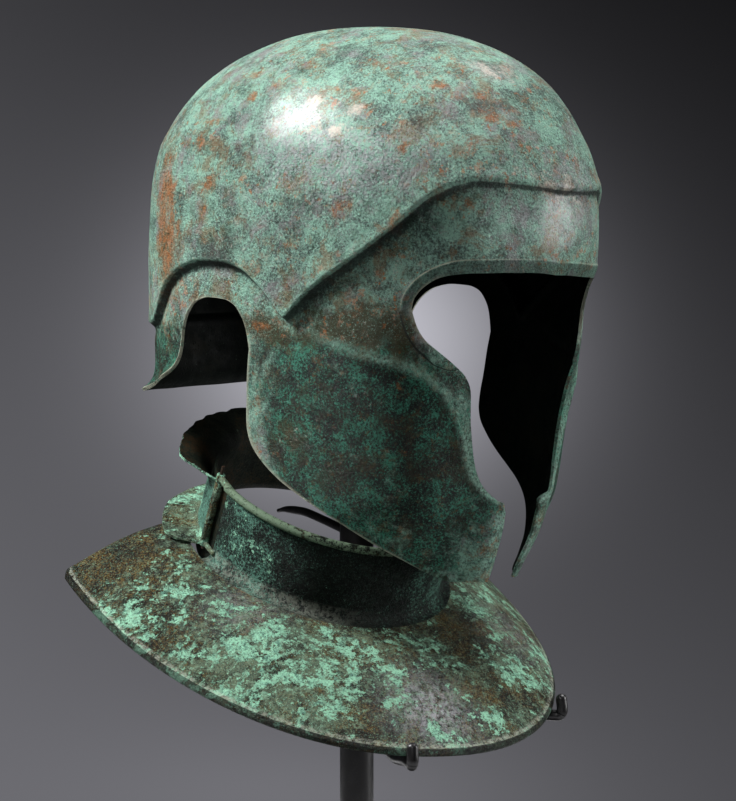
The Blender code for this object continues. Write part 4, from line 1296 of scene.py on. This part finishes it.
    def build(self, effects: Effects) -> bpy.types.Object:
        """Builds and dresses the shell.

        Args:
            effects: The shared node groups.

        Returns:
            The finished shell, in place of its solid.
        """
        half = self.half()
        whole = half.joined(half.mirrored())
        whole.places = self.sagged(whole.places)
        ragged = 0.30 * rough_noise(whole.places, 0.006, 21, 3)
        for patch_kind in StainAndLight:
            total = sum(Patch(*row).mask(whole.places) for row in PATCHES[patch_kind])
            spread = rough_noise(whole.places, 0.030, 40 + len(patch_kind.value), 3)
            wild = np.where(whole.places[:, 0] > -0.02, 0.55, 0.22)
            total = 0.92 * total * (1 + ragged) + wild * smoothstep((spread - 0.35) / 0.5)
            whole.values[patch_kind.value] = total
        whole.values["deep_patina_and_shade"] = whole.values["deep_patina_and_shade"] * (
            1 + 0.30 * rough_noise(whole.places, 0.030, 77, 3))
        whole.places = whole.places + [0.0, -self.forward, self.lift]
        made = whole.made("helmet_skin", [
            CrownPatina().material(effects), InnerPatinaAndShade("helmet inside").material(effects)])
        weld(made, 2e-5)
        thicken(made, self.wall, -1.0)
        return dress(made, "helmet_shell")


def dress(made: bpy.types.Object, node: str) -> bpy.types.Object:
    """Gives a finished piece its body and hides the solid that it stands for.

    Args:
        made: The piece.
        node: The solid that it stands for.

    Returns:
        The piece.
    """
    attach(made, "root")
    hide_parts(node)
    made.data.calc_loop_triangles()
    LOG.info("%s: %d triangles", made.name, len(made.data.loop_triangles))
    return made


# The gorget.


@dataclass
class Gorget:
    """What the gorget's two plates share: the collar's foot and where the set stands."""

    half_width: float = 0.060
    half_depth: float = 0.065
    collar_height: float = 0.0415
    wall: float = 0.0012
    turns: tuple[float, float, float] = (-21.0, 22.0, 5.0)
    place: tuple[float, float, float] = (-0.0022, 0.0245, 0.1906)
    hinge_side: float = 0.0612
    hinge_back: float = 0.0050
    knuckle: float = 0.0021
    pin_hole: float = 0.0011

    def matrix(self) -> Matrix:
        """Returns the move from the gorget's own frame to the world."""
        turn, pitch, roll = (math.radians(v) for v in self.turns)
        spin = Matrix.Rotation(turn, 4, "Z") @ Matrix.Rotation(pitch, 4, "X")
        return Matrix.Translation(self.place) @ spin @ Matrix.Rotation(roll, 4, "Y")

    def foot(self, angle: np.ndarray) -> tuple[np.ndarray, np.ndarray]:
        """Returns points of the foot's ellipse at angles in degrees, and its outward way."""
        turn = np.radians(angle)
        point = np.stack([self.half_width * np.cos(turn), -self.half_depth * np.sin(turn)], -1)
        way = np.stack([np.cos(turn) / self.half_width, -np.sin(turn) / self.half_depth], -1)
        return point, way / np.linalg.norm(way, axis=-1, keepdims=True)

    def set_up(self, made: bpy.types.Object) -> None:
        """Moves a plate's mesh to its place in the world."""
        made.data.transform(self.matrix())
        made.data.update()

    def tube(self, side: int, low: float, high: float) -> Sheet:
        """A knuckle: a hollow upright tube round the hinge line, its edges softened.

        Args:
            side: -1 for the wearer's right, 1 for the left.
            low: Its foot in metres.
            high: Its top in metres.

        Returns:
            A closed ring.
        """
        soft, inner, outer = 0.0003, self.pin_hole, self.knuckle
        sheet = turned(np.array([
            (inner, low), (outer - soft, low), (outer, low + soft), (outer, (low + high) / 2),
            (outer, high - soft), (outer - soft, high), (inner, high), (inner, low)]), 28)
        sheet.places = sheet.places + [side * self.hinge_side, self.hinge_back, 0.0]
        return sheet.flipped().filled(sage=0.4, flake=0.3)


class Run(IntEnum):
    """The runs of the front plate's rows, from the collar's top to the brim's edge."""

    ROLL = 0
    WALL = 1
    FILLET = 2
    BRIM = 3
    EDGE = 4


@dataclass
class GorgetFront(Gorget):
    """The front plate: a rolled collar wall that turns out into a broad sloping brim."""

    brim_half_width: float = 0.1205
    brim_front: float = 0.151
    tip_back: float = 0.0225
    tip_drop: float = 0.0255
    front_drop: float = 0.0185
    brim_power: float = 2.2
    collar_roll: float = 0.0020
    brim_roll: float = 0.0010
    fillet: float = 0.006
    wall_end: float = 4.5
    brim_end: float = -31.0
    tip_turn: float = 3.0
    tip_curl: float = 0.008
    columns: tuple[int, int] = (22, 150)
    row_counts: tuple[int, int, int, int, int] = (16, 20, 8, 56, 8)
    eye_radius: float = 0.0024
    beat: float = 0.00022

    def brim_edge(self, turn: np.ndarray) -> np.ndarray:
        """Returns the brim's outline, a rounded oval of power 2.2 whose tips curl in."""
        past = np.maximum(np.maximum(-turn, turn - 180), 0)
        cos, sin = np.cos(np.radians(turn)), np.sin(np.radians(turn))
        power = 2 / self.brim_power
        curl = self.tip_curl * (past / self.tip_turn) ** 2
        x = np.sign(cos) * (self.brim_half_width * np.abs(cos) ** power - curl)
        y = self.tip_back - (self.brim_front + self.tip_back) * np.sign(sin) * np.abs(sin) ** power
        z = -(self.tip_drop + (self.front_drop - self.tip_drop) * sin)
        return np.stack([x, y, z], -1)

    def rows(self, angles: np.ndarray) -> tuple[np.ndarray, int, np.ndarray]:
        """The plate's inner face, row by row from the collar's roll to the brim's roll.

        The roll and the fillet are arcs, the wall is straight, and the brim falls by 0.4
        of its share plus 0.6 of the share squared.

        Args:
            angles: Degrees round the collar, one a column.

        Returns:
            Points as rows by columns, the first row of the brim, and each row's run number.
        """
        base, way = self.foot(angles)
        share = (angles - self.brim_end) / (180 - 2 * self.brim_end)
        ends = self.brim_edge(share * (180 + 2 * self.tip_turn) - self.tip_turn)
        rows, kinds = [], []

        def level(reach: float, z: float, kind: Run) -> None:
            """Adds a level row at a reach from the foot."""
            rows.append(np.column_stack([base + way * reach, np.full(len(angles), z)]))
            kinds.append(kind)

        rolled, upright, curved, sloped, hemmed = self.row_counts
        top, roll = self.collar_height - self.collar_roll, self.collar_roll
        for bend in np.radians(np.linspace(-85, 180, rolled)):
            level(roll * (1 + math.cos(bend)), top + roll * math.sin(bend), Run.ROLL)
        for z in np.linspace(top, self.fillet, upright)[1:-1]:
            level(0.0, z, Run.WALL)
        for bend in np.radians(np.linspace(180, 270, curved)):
            level(self.fillet * (1 + math.cos(bend)), self.fillet * (1 + math.sin(bend)),
                  Run.FILLET)
        brim_row = len(rows) - 1
        start = rows[-1]
        flat = ends[:, :2] - start[:, :2]
        run = np.linalg.norm(flat, axis=1, keepdims=True)
        aim = flat / run
        run = run - self.brim_roll - self.wall
        for share in np.linspace(0, 1, sloped)[1:]:
            drop = ends[:, 2] * (0.40 * share + 0.60 * share**2)
            rows.append(np.column_stack([start[:, :2] + aim * run * share, drop]))
            kinds.append(Run.BRIM)
        edge = rows[-1]
        for bend in np.radians(np.linspace(70, -95, hemmed)):
            spot = edge[:, :2] + aim * self.brim_roll * math.cos(bend)
            rows.append(np.column_stack([spot, edge[:, 2] - self.brim_roll * (1 - math.sin(bend))]))
            kinds.append(Run.EDGE)
        return np.array(rows), brim_row, np.array(kinds)

    def values(self, places: np.ndarray, kinds: np.ndarray) -> dict[str, np.ndarray]:
        """The plate's vertex values in its own frame, in millimetres.

        Args:
            places: Points as rows by columns.
            kinds: Each row's run number.

        Returns:
            Named values of the grid's shape.
        """
        x, y, z = (places[..., k] * 1000 for k in range(3))
        kind = kinds[:, None] + 0 * x
        brim = smoothstep(kind - Run.FILLET)

        def near(at_x: float, at_y: float, reach: float, wide: float = 1.0,
                 deep: float = 1.0) -> np.ndarray:
            """Returns a bell round a spot, stretched sideways or forwards."""
            return bump(np.hypot((x - at_x) / wide, (y - at_y) / deep), reach)

        left_front, right = near(-52, -92, 26, wide=1.5), near(88, -68, 26, deep=1.8)
        near_tip = near(-104, -30, 16, deep=1.6)
        bare = near(-98, 26, 22) + near(46, -62, 16)
        noise = rough_noise(places, 0.016, 5, 3)
        flake = 0.33 + 0.24 * left_front + 0.16 * near_tip + 0.10 * right - 0.18 * bare
        flake = flake + 0.12 * noise
        sage = 0.36 + 0.08 * right + 0.22 * left_front - 0.30 * bare + 0.2 * noise
        wall = 1 - brim
        side = smoothstep((-x - 30) / 24)
        # Tint lifts the collar wall towards both ends; the darker middle is partly painted shade.
        tint = -0.20 + 0.26 * side + 0.18 * smoothstep((x - 5) / 20)
        roll, collar = (kind == Run.ROLL) * 1.0, kind < Run.BRIM
        # Wear and painted highlight: a soft pale band on the collar's fillet, and a thin pale line
        # on the brim inside its rolled edge.
        wear_and_highlight = 0.28 * bump(kind - 2.15, 0.45) * smoothstep((z + 2) / 3)
        wear_and_highlight = wear_and_highlight * smoothstep((-x + 5) / 40)
        wear_and_highlight[np.flatnonzero(kinds == Run.BRIM)[-2:]] += 0.5
        # Painted shadow on the collar wall beside the near hinge's slot.
        slot = near(-62, -4, 6) * wall
        # Painted sheen on the brim, partly a grey-violet film: at the low front, and to either
        # side.
        film_and_sheen = near(4, -126, 20) + 0.375 * near(-62, -50, 18) + 0.3 * near(84, -60, 24)
        return {
            "flake": np.where(
                collar, 0.06 + 0.22 * side * (kind < Run.FILLET) + 0.42 * roll, flake),
            "sage": np.where(collar, 0.2 + 0.6 * roll, sage), "wall": wall * (1 - 0.6 * roll),
            "tint": tint + 0.25 * roll, "shade_and_dirt": 0.5 * slot + 0.72 * (kind == Run.EDGE),
            "wear_and_highlight": wear_and_highlight, "film_and_sheen": brim * np.clip(film_and_sheen, 0, 1),
            # The roll's pale patina, lighter towards negative x and fading darker towards positive
            # x as painted shade.
            "hem": roll * (0.50 + 0.2 * side - 0.25 * smoothstep((x + 10) / 30)),
        }

    def build(self, looks: Sequence[Look]) -> bpy.types.Object:
        """Builds and dresses the front plate.

        Args:
            looks: The outside's and the inside's materials.

        Returns:
            The finished plate, in place of its solid.
        """
        beside, between = self.columns
        inner = np.linspace(self.wall_end, 180 - self.wall_end, between)
        outer = np.linspace(self.brim_end, self.wall_end, beside)[:-1]
        angles = np.concatenate([outer, inner, 180 - outer[::-1]])
        places, brim_row, kinds = self.rows(angles)
        first, last = len(outer), len(angles) - 1 - len(outer)
        values = self.values(places, kinds)
        beat = self.beat * rough_noise(places, 0.020, 11, 3)
        places[..., 2] = places[..., 2] + beat * (kinds == Run.BRIM)[:, None]
        plate = Sheet.grid(places, values, keep=lambda r, c: (r >= brim_row) | (
            (c >= first) & (c < last)))
        made = plate.flipped().made("gorget_front_plate", looks)
        if sum(p.normal.z * p.area for p in made.data.polygons) < 0:
            made.data.flip_normals()
        thicken(made, self.wall, 1.0)
        self.cut_eyes(made)
        self.add_knuckles(made, looks)
        self.set_up(made)
        return dress(made, "gorget_front")

    def cut_eyes(self, made: bpy.types.Object) -> None:
        """Cuts the small round hole in the brim beside each hinge."""
        for side in (-1, 1):
            bpy.ops.mesh.primitive_cylinder_add(
                vertices=32, radius=self.eye_radius, depth=0.012,
                location=(side * (self.hinge_side + 0.0020), -0.0028, -0.0012))
            cutter = bpy.context.active_object
            cut = made.modifiers.new("eye", "BOOLEAN")
            cut.operation, cut.solver, cut.object = "DIFFERENCE", "EXACT", cutter
            apply_modifiers(made)
            bpy.data.objects.remove(cutter)

    def add_knuckles(self, made: bpy.types.Object, looks: Sequence[Look]) -> None:
        """Joins the hinge's rings and their straps to the plate."""
        parts = [made]
        top = self.collar_height
        for side in (-1, 1):
            for low, high in ((0.0030, 0.0060), (top - 0.0040, top + 0.0003)):
                parts.append(self.tube(side, low, high).made("ring", looks))
                middle = side * self.hinge_side
                path = np.array([(middle, y, (low + high) / 2) for y in
                                 np.linspace(-0.0076, self.hinge_back - 0.0016, 8)])
                bar = swept_bar(path, np.full(8, (high - low) * 0.42), 12).filled(sage=0.7)
                parts.append(bar.made("strap", looks))
        merged(parts)


@dataclass
class GorgetBack(Gorget):
    """The back plate: a collar wall with a wide turned-out lip and a narrow foot flange."""

    first_angle: float = 187.0
    last_angle: float = 353.0
    columns: int = 170
    wall_foot: float = 0.0075
    flange: float = 0.018
    flange_round: float = 0.012

    def build(self, looks: Sequence[Look]) -> bpy.types.Object:
        """Builds and dresses the back plate.

        The lip and the flange are curves through a few reaches and heights, and both fade
        towards the plate's ends.

        Args:
            looks: The outside's and the inside's materials.

        Returns:
            The finished plate, in place of its solid.
        """
        even = np.linspace(0, 1, self.columns)
        span = self.last_angle - self.first_angle
        angles = self.first_angle + span * (0.75 * even + 0.25 * smoothstep(even))
        base, way = self.foot(angles)
        turn_in = np.minimum(angles - self.first_angle, self.last_angle - angles)
        along = np.clip(np.radians(turn_in) * self.half_depth / self.flange_round, 0.0, 1.0)
        width = self.flange * np.maximum(np.sqrt(1 - (1 - along) ** 2), 0.03)
        droop = 0.0025 * smoothstep((turn_in - 28) / 20)
        swell = smoothstep((turn_in + 2) / 16)
        steps = np.linspace(0, 1, 22)
        knots = np.array([0, 0.33, 0.66, 1.0])
        plain = through(knots, np.array([
            (0.0009, 0.0372), (0.0004, 0.0355), (0.0, 0.033), (0.0, 0.030)]), steps)
        wide = through(knots, np.array([
            (0.0185, 0.0410), (0.0115, 0.0400), (0.0050, 0.0370), (0.0010, 0.0320)]), steps)
        wave = rough_noise(np.column_stack([angles / 90, 0 * angles, 0 * angles]), 0.05, 17, 2)
        rows = []
        for near, far, step in zip(plain, wide, steps):
            reach, level = near[:, None] + (far - near)[:, None] * swell
            ripple = 0.0006 * (1 - step) ** 3 * wave
            reach = reach + 2.2 * ripple[::-1]
            rows.append(np.column_stack([base + way * reach[:, None], level + ripple]))
        for z in np.linspace(0.029, self.wall_foot, 14):
            rows.append(np.column_stack([base, np.full(len(angles), z)]))
        wall_end = len(rows)
        share = np.linspace(0.03, 1, 24)
        fall = monotone(np.array([0, 0.07, 0.25, 0.60, 1.0]),
                        np.array([0.0065, 0.0044, 0.0026, 0.0018, 0.0008]), share)
        for part, z in zip(share, fall):
            level = z - droop * part + 0.0010 * (1 - width / self.flange) * part
            rows.append(np.column_stack([base + way * (width * part)[:, None], level]))
        places = np.array(rows)
        noise = rough_noise(places, 0.010, 31, 3)
        row = np.arange(len(rows))[:, None] + 0 * noise
        on_wall, on_lip = row < wall_end, row < len(steps)
        values = {
            "wall": on_wall, "tint": np.where(on_lip, 0.02, 0.20) + 0.08 * noise,
            "flake": np.where(on_wall, 0.30, 0.40) + 0.2 * noise + 0.15 * (row < 2),
            "sage": 0.6 + 0.2 * noise, "wear_and_highlight": 0.08 * on_lip,
        }
        made = Sheet.grid(places, values).made("gorget_back_plate", looks)
        wall = max(made.data.polygons, key=lambda p: p.center.y - abs(p.normal.z) * 9)
        if wall.normal.y < 0:
            made.data.flip_normals()
        thicken(made, self.wall, 1.0)
        parts = [made]
        for side in (-1, 1):
            roll = self.tube(side, 0.0063, self.collar_height - 0.0043)
            path = np.array([(side * 0.0606, self.hinge_back + 0.0022, z)
                             for z in np.linspace(self.wall_foot, 0.0355, 12)])
            link = swept_bar(path, np.full(12, 0.0011), 12).filled(sage=0.7, wall=1.0, tint=0.2)
            parts += [roll.made("roll", looks), link.made("link", looks),
                      self.slot_shade_strip(side, looks)]
        merged(parts)
        self.set_up(made)
        return dress(made, "gorget_back")

    def slot_shade_strip(self, side: int, looks: Sequence[Look]) -> bpy.types.Object:
        """Returns a strip inside the collar behind the slot beside a hinge, its near-black inside
        finish facing out, so that the slot shows black as painted shade.
        """
        angles = np.linspace(-34, 12, 24)
        base, way = self.foot(angles)
        base, way = base * [side, 1], way * [side, 1]
        rows = [np.column_stack([base - way * 0.0007, np.full(len(angles), z)])
                for z in np.linspace(-0.0070, 0.0362, 16)]
        strip = Sheet.grid(np.array(rows))
        made = (strip.flipped() if side > 0 else strip).made("slot_shade_strip", looks[::-1])
        thicken(made, 0.0008, -1.0)
        return made


# The stand.


@dataclass
class Stand:
    """The black post with its strap, and the hub and hooks under the gorget."""

    post_radius: float = 0.0083
    hub_radius: float = 0.0125
    hub_height: float = 0.012
    hub_drop: float = 0.070
    lift: float = 0.190
    hook_radius: float = 0.0027
    hook_under: float = 0.0054
    tip_reach: float = 0.0024
    strap_radii: tuple[float, float] = (0.0021, 0.0010)
    hook_turns: tuple[float, float] = (96.0, 46.5)

    def post(self, look: Look) -> bpy.types.Object:
        """Returns the round post with its strap, as one piece."""
        low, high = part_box("stand_post")
        profile = np.array([(0.0, low.z), (self.post_radius, low.z), (self.post_radius, 0.1),
                            (self.post_radius, 0.3), (self.post_radius - 0.0004, high.z),
                            (0.0, high.z)])
        path = np.array([(0.0, 0.0, 0.013), (0.010, 0.030, 0.017), (0.016, 0.052, 0.0195),
                         (0.0195, 0.066, 0.019), (0.0215, 0.074, 0.0175)]) + [0, 0, self.lift]
        knots = np.linspace(0, 1, len(path))
        fine = np.linspace(0, 1, 40)
        thick, thin = self.strap_radii
        taper = thick + (thin - thick) * smoothstep((fine - 0.55) / 0.45)
        strap = swept_bar(through(knots, path, fine), taper, 16)
        made = turned(profile).joined(strap).made("post_and_strap", [look])
        made.data.set_sharp_from_angle(angle=SHARP)
        return dress(made, "stand_post")

    def cradle(self, front: GorgetFront, look: Look) -> bpy.types.Object:
        """Builds the hub, its arms and the hooks that clasp the brim's edge.

        Each arm is a round bar carried along a smooth path that turns up outside the brim
        and ends in a rounded tip.

        Args:
            front: The plate that the hooks hold.
            look: The stand's finish.

        Returns:
            The finished cradle, in place of its solid.
        """
        level = self.lift - self.hub_drop
        bore, soft = self.post_radius + 0.0003, 0.0006
        half = self.hub_height / 2
        profile = np.array([
            (bore, -half), (self.hub_radius - soft, -half), (self.hub_radius, -half + soft),
            (self.hub_radius, half - soft), (self.hub_radius - soft, half), (bore, half),
            (bore, -half)]) + [0, level]
        whole = turned(profile)
        place = front.matrix()
        for turn in self.hook_turns:
            edge = np.array(place @ Vector(front.brim_edge(np.array(turn))))
            aim = edge * [1, 1, 0]
            aim = aim / np.linalg.norm(aim)
            up = np.array([0, 0, 1.0])
            under = edge - up * self.hook_under
            knots = np.array([
                aim * (self.hub_radius - 0.003) + up * level, edge - aim * 0.030 - up * 0.0085,
                under - aim * 0.004, under + aim * 0.0028, edge + aim * 0.0045 - up * 0.0025,
                edge + aim * 0.0040 + up * 0.0024, edge + aim * 0.0036 + up * 0.0052])
            along = reach_along(knots)
            fine = np.unique(np.concatenate([np.linspace(0, along[-1], 60),
                                             np.linspace(along[3], along[-1], 40)]))
            left = along[-1] - fine
            tip = np.sqrt(np.clip(1 - (1 - np.clip(left / self.tip_reach, 0, 1)) ** 2, 0.02, 1))
            whole = whole.joined(
                swept_bar(through(along, knots, fine), self.hook_radius * tip, 18))
        made = whole.made("hooks_and_hub", [look])
        made.data.set_sharp_from_angle(angle=SHARP)
        return dress(made, "gorget_cradle")


def carry_over(frame: dict, names: Sequence[str], look: Look) -> None:
    """Gives solids that stay their finish.

    Args:
        names: The nodes.
        look: Their material.
    """
    for name in names:
        node = frame["nodes"][name]
        node.data.materials.clear()
        node.data.materials.append(look)
        LOG.info("%s keeps its solid", name)


# The studio.


@dataclass
class Studio:
    """The camera, the soft lights, the pale floor and the curved backdrop."""

    eye: tuple[float, float, float] = (-1.0763, -0.9855, 0.3961)
    tilt: float = 85.05
    heading: float = -47.74
    lens: float = 134.83
    aim: tuple[float, float, float] = (0.0, -0.01, 0.32)
    floor_radius: float = 0.315
    bend_radius: float = 0.5
    wall_top: float = 1.9

    def camera(self) -> None:
        """Makes the scene's camera at the photograph's angle."""
        data = bpy.data.cameras.new("camera")
        data.lens, data.sensor_width = self.lens, 36.0
        data.clip_start, data.clip_end = 0.05, 50.0
        made = bpy.data.objects.new("camera", data)
        made.location = self.eye
        made.rotation_euler = (math.radians(self.tilt), 0.0, math.radians(self.heading))
        bpy.context.scene.collection.objects.link(made)
        bpy.context.scene.camera = made

    def lamp(self, name: str, azimuth: float, height: float, far: float,
             size: tuple[float, float], power: float) -> None:
        """Places one soft rectangular light that faces the helmet.

        Args:
            name: The light's name.
            azimuth: Degrees, 0 being where the helmet looks and 90 its left.
            height: Degrees above the level.
            far: Metres from the helmet.
            size: Width and height in metres.
            power: Watts.
        """
        turn, rise = math.radians(azimuth), math.radians(height)
        way = Vector((math.sin(turn) * math.cos(rise), -math.cos(turn) * math.cos(rise),
                      math.sin(rise)))
        data = bpy.data.lights.new(name, "AREA")
        data.shape, data.size, data.size_y = "RECTANGLE", size[0], size[1]
        data.energy = power
        made = bpy.data.objects.new(name, data)
        made.location = Vector(self.aim) + way * far
        made.rotation_euler = way.to_track_quat("Z", "Y").to_euler()
        bpy.context.scene.collection.objects.link(made)

    def lights(self) -> None:
        """Places the lights and the faint light all round."""
        self.lamp("key", -134, 43, 1.7, (0.55, 0.55), 60.0)
        self.lamp("right strip", 46, 5, 1.6, (0.5, 0.9), 17.0)
        self.lamp("overhead", 75, 64, 1.5, (0.9, 0.7), 22.0)
        self.lamp("front fill", -60, 22, 2.4, (1.2, 1.0), 14.5)
        world = bpy.data.worlds.new("studio air")
        world.use_nodes = True
        air = world.node_tree.nodes["Background"]
        air.inputs["Color"].default_value = (0.62, 0.64, 0.70, 1.0)
        air.inputs["Strength"].default_value = 0.03
        bpy.context.scene.world = world

    def sweep(self) -> None:
        """Makes the pale floor and a backdrop that curves up from it all round.

        The floor is a disc; the backdrop is a quarter circle and a straight wall turned
        round the stand. Only its inner face shows, and no light meets it.
        """
        sides, radius = 96, self.bend_radius
        bend = np.linspace(0, math.pi / 2, 24)
        curve = np.column_stack([self.floor_radius + radius * np.sin(bend),
                                 radius - radius * np.cos(bend)])
        outer = self.floor_radius + radius
        wall = turned(np.vstack([curve, [(outer, 1.0), (outer, self.wall_top)]]), sides)
        drop = wall.flipped().made("backdrop", [self.backdrop_look()])
        drop.visible_shadow = drop.visible_diffuse = drop.visible_glossy = False
        look, w, shader, where = new_material("pale floor")
        w.feed(shader.inputs["Base Color"], w.blend(
            w.noise(where, 300.0), tone(176, 176, 178), tone(188, 188, 190)))
        w.feed(shader.inputs["Roughness"], 0.85)
        disc = turned(np.array([(0.0005, 0.0), (0.16, 0.0), (self.floor_radius, 0.0)]), sides)
        ground = disc.made("floor", [look])

    def backdrop_look(self) -> Look:
        """Returns a grey that is dark at the top and glows softly behind the helmet."""
        look, w, shader, where = new_material("grey backdrop")
        nodes = look.node_tree.nodes
        nodes.remove(shader)
        spin = Matrix.Rotation(math.radians(self.heading), 3, "Z") @ Matrix.Rotation(
            math.radians(self.tilt), 3, "X")

        def seen(x: float, y: float, far: float) -> Vector:
            """Returns the point at pixels from the view's middle and metres ahead."""
            return Vector(self.eye) + spin @ Vector((x / FOCAL * far, y / FOCAL * far, -far))

        def measured(how: str, other: Vector) -> Socket:
            """Returns a product with a direction, or the distance to a point."""
            node = w.add("ShaderNodeVectorMath", {0: where, 1: tuple(other)}, operation=how)
            return node.outputs["Value"]

        dimmest, plain, brightest, screen_power = 0.09, 0.282, 0.75, 2.2
        base, middle = plain, seen(0, 0, 2.24)
        for axis, slope in (((1, 0, 0), -0.23), ((0, 1, 0), -0.34)):
            way = spin @ Vector(axis)
            along = w.math("SUBTRACT", measured("DOT_PRODUCT", way), float(middle @ way))
            base = w.plus(w.times(along, slope), base)
        for place, reach, gain in (((-8, 50, 2.24), 0.142, 0.53), ((-40, -390, 1.83), 0.15, 0.07)):
            gap = w.times(measured("DISTANCE", seen(*place)), 1 / reach)
            base = w.plus(base, w.times(w.math("EXPONENT", w.times(gap, gap, -1.0)), gain))
        base = w.math("MINIMUM", w.math("MAXIMUM", base, dimmest), brightest)
        level = w.math("POWER", base, screen_power)
        colour = w.blend(1.0, level, (0.975, 0.97, 1.07, 1.0), "MULTIPLY")
        light = w.add("ShaderNodeEmission", {"Color": colour, "Strength": 1.0})
        clear = w.add("ShaderNodeBsdfTransparent")
        back = w.add("ShaderNodeNewGeometry").outputs["Backfacing"]
        both = w.add("ShaderNodeMixShader", {0: back, 1: light.outputs[0], 2: clear.outputs[0]})
        w.feed(nodes["Material Output"].inputs["Surface"], both.outputs[0])
        return look


def main() -> None:
    logging.basicConfig(level=logging.INFO, format="%(message)s")
    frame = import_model()
    bpy.context.scene.view_settings.view_transform = "Standard"
    studio = Studio()
    studio.camera()
    effects = Effects()
    black = PlainCoat("satin black", tone(34, 33, 34), tone(20, 19, 20), 0.36, 0.0, 0.00003)
    dull = PlainCoat("dull bronze pin", tone(96, 70, 48), tone(52, 38, 28), 0.55, 0.3, 0.00008)
    black_look, pin_look = black.material(effects), dull.material(effects)
    HelmetShell().build(effects)
    inside = InnerPatinaAndShade("gorget inside", tone(12, 14, 11), tone(26, 34, 28), tone(50, 38, 24))
    looks = [GorgetPatina().material(effects), inside.material(effects)]
    front = GorgetFront()
    front.build(looks)
    GorgetBack().build(looks)
    stand = Stand()
    stand.post(black_look)
    stand.cradle(front, black_look)
    carry_over(frame, ("hinge_pin_right", "closure_pin_left"), pin_look)
    carry_over(frame, ("stand_base", "helmet_rest"), black_look)
    studio.lights()
    studio.sweep()


if __name__ == "__main__":
    main()
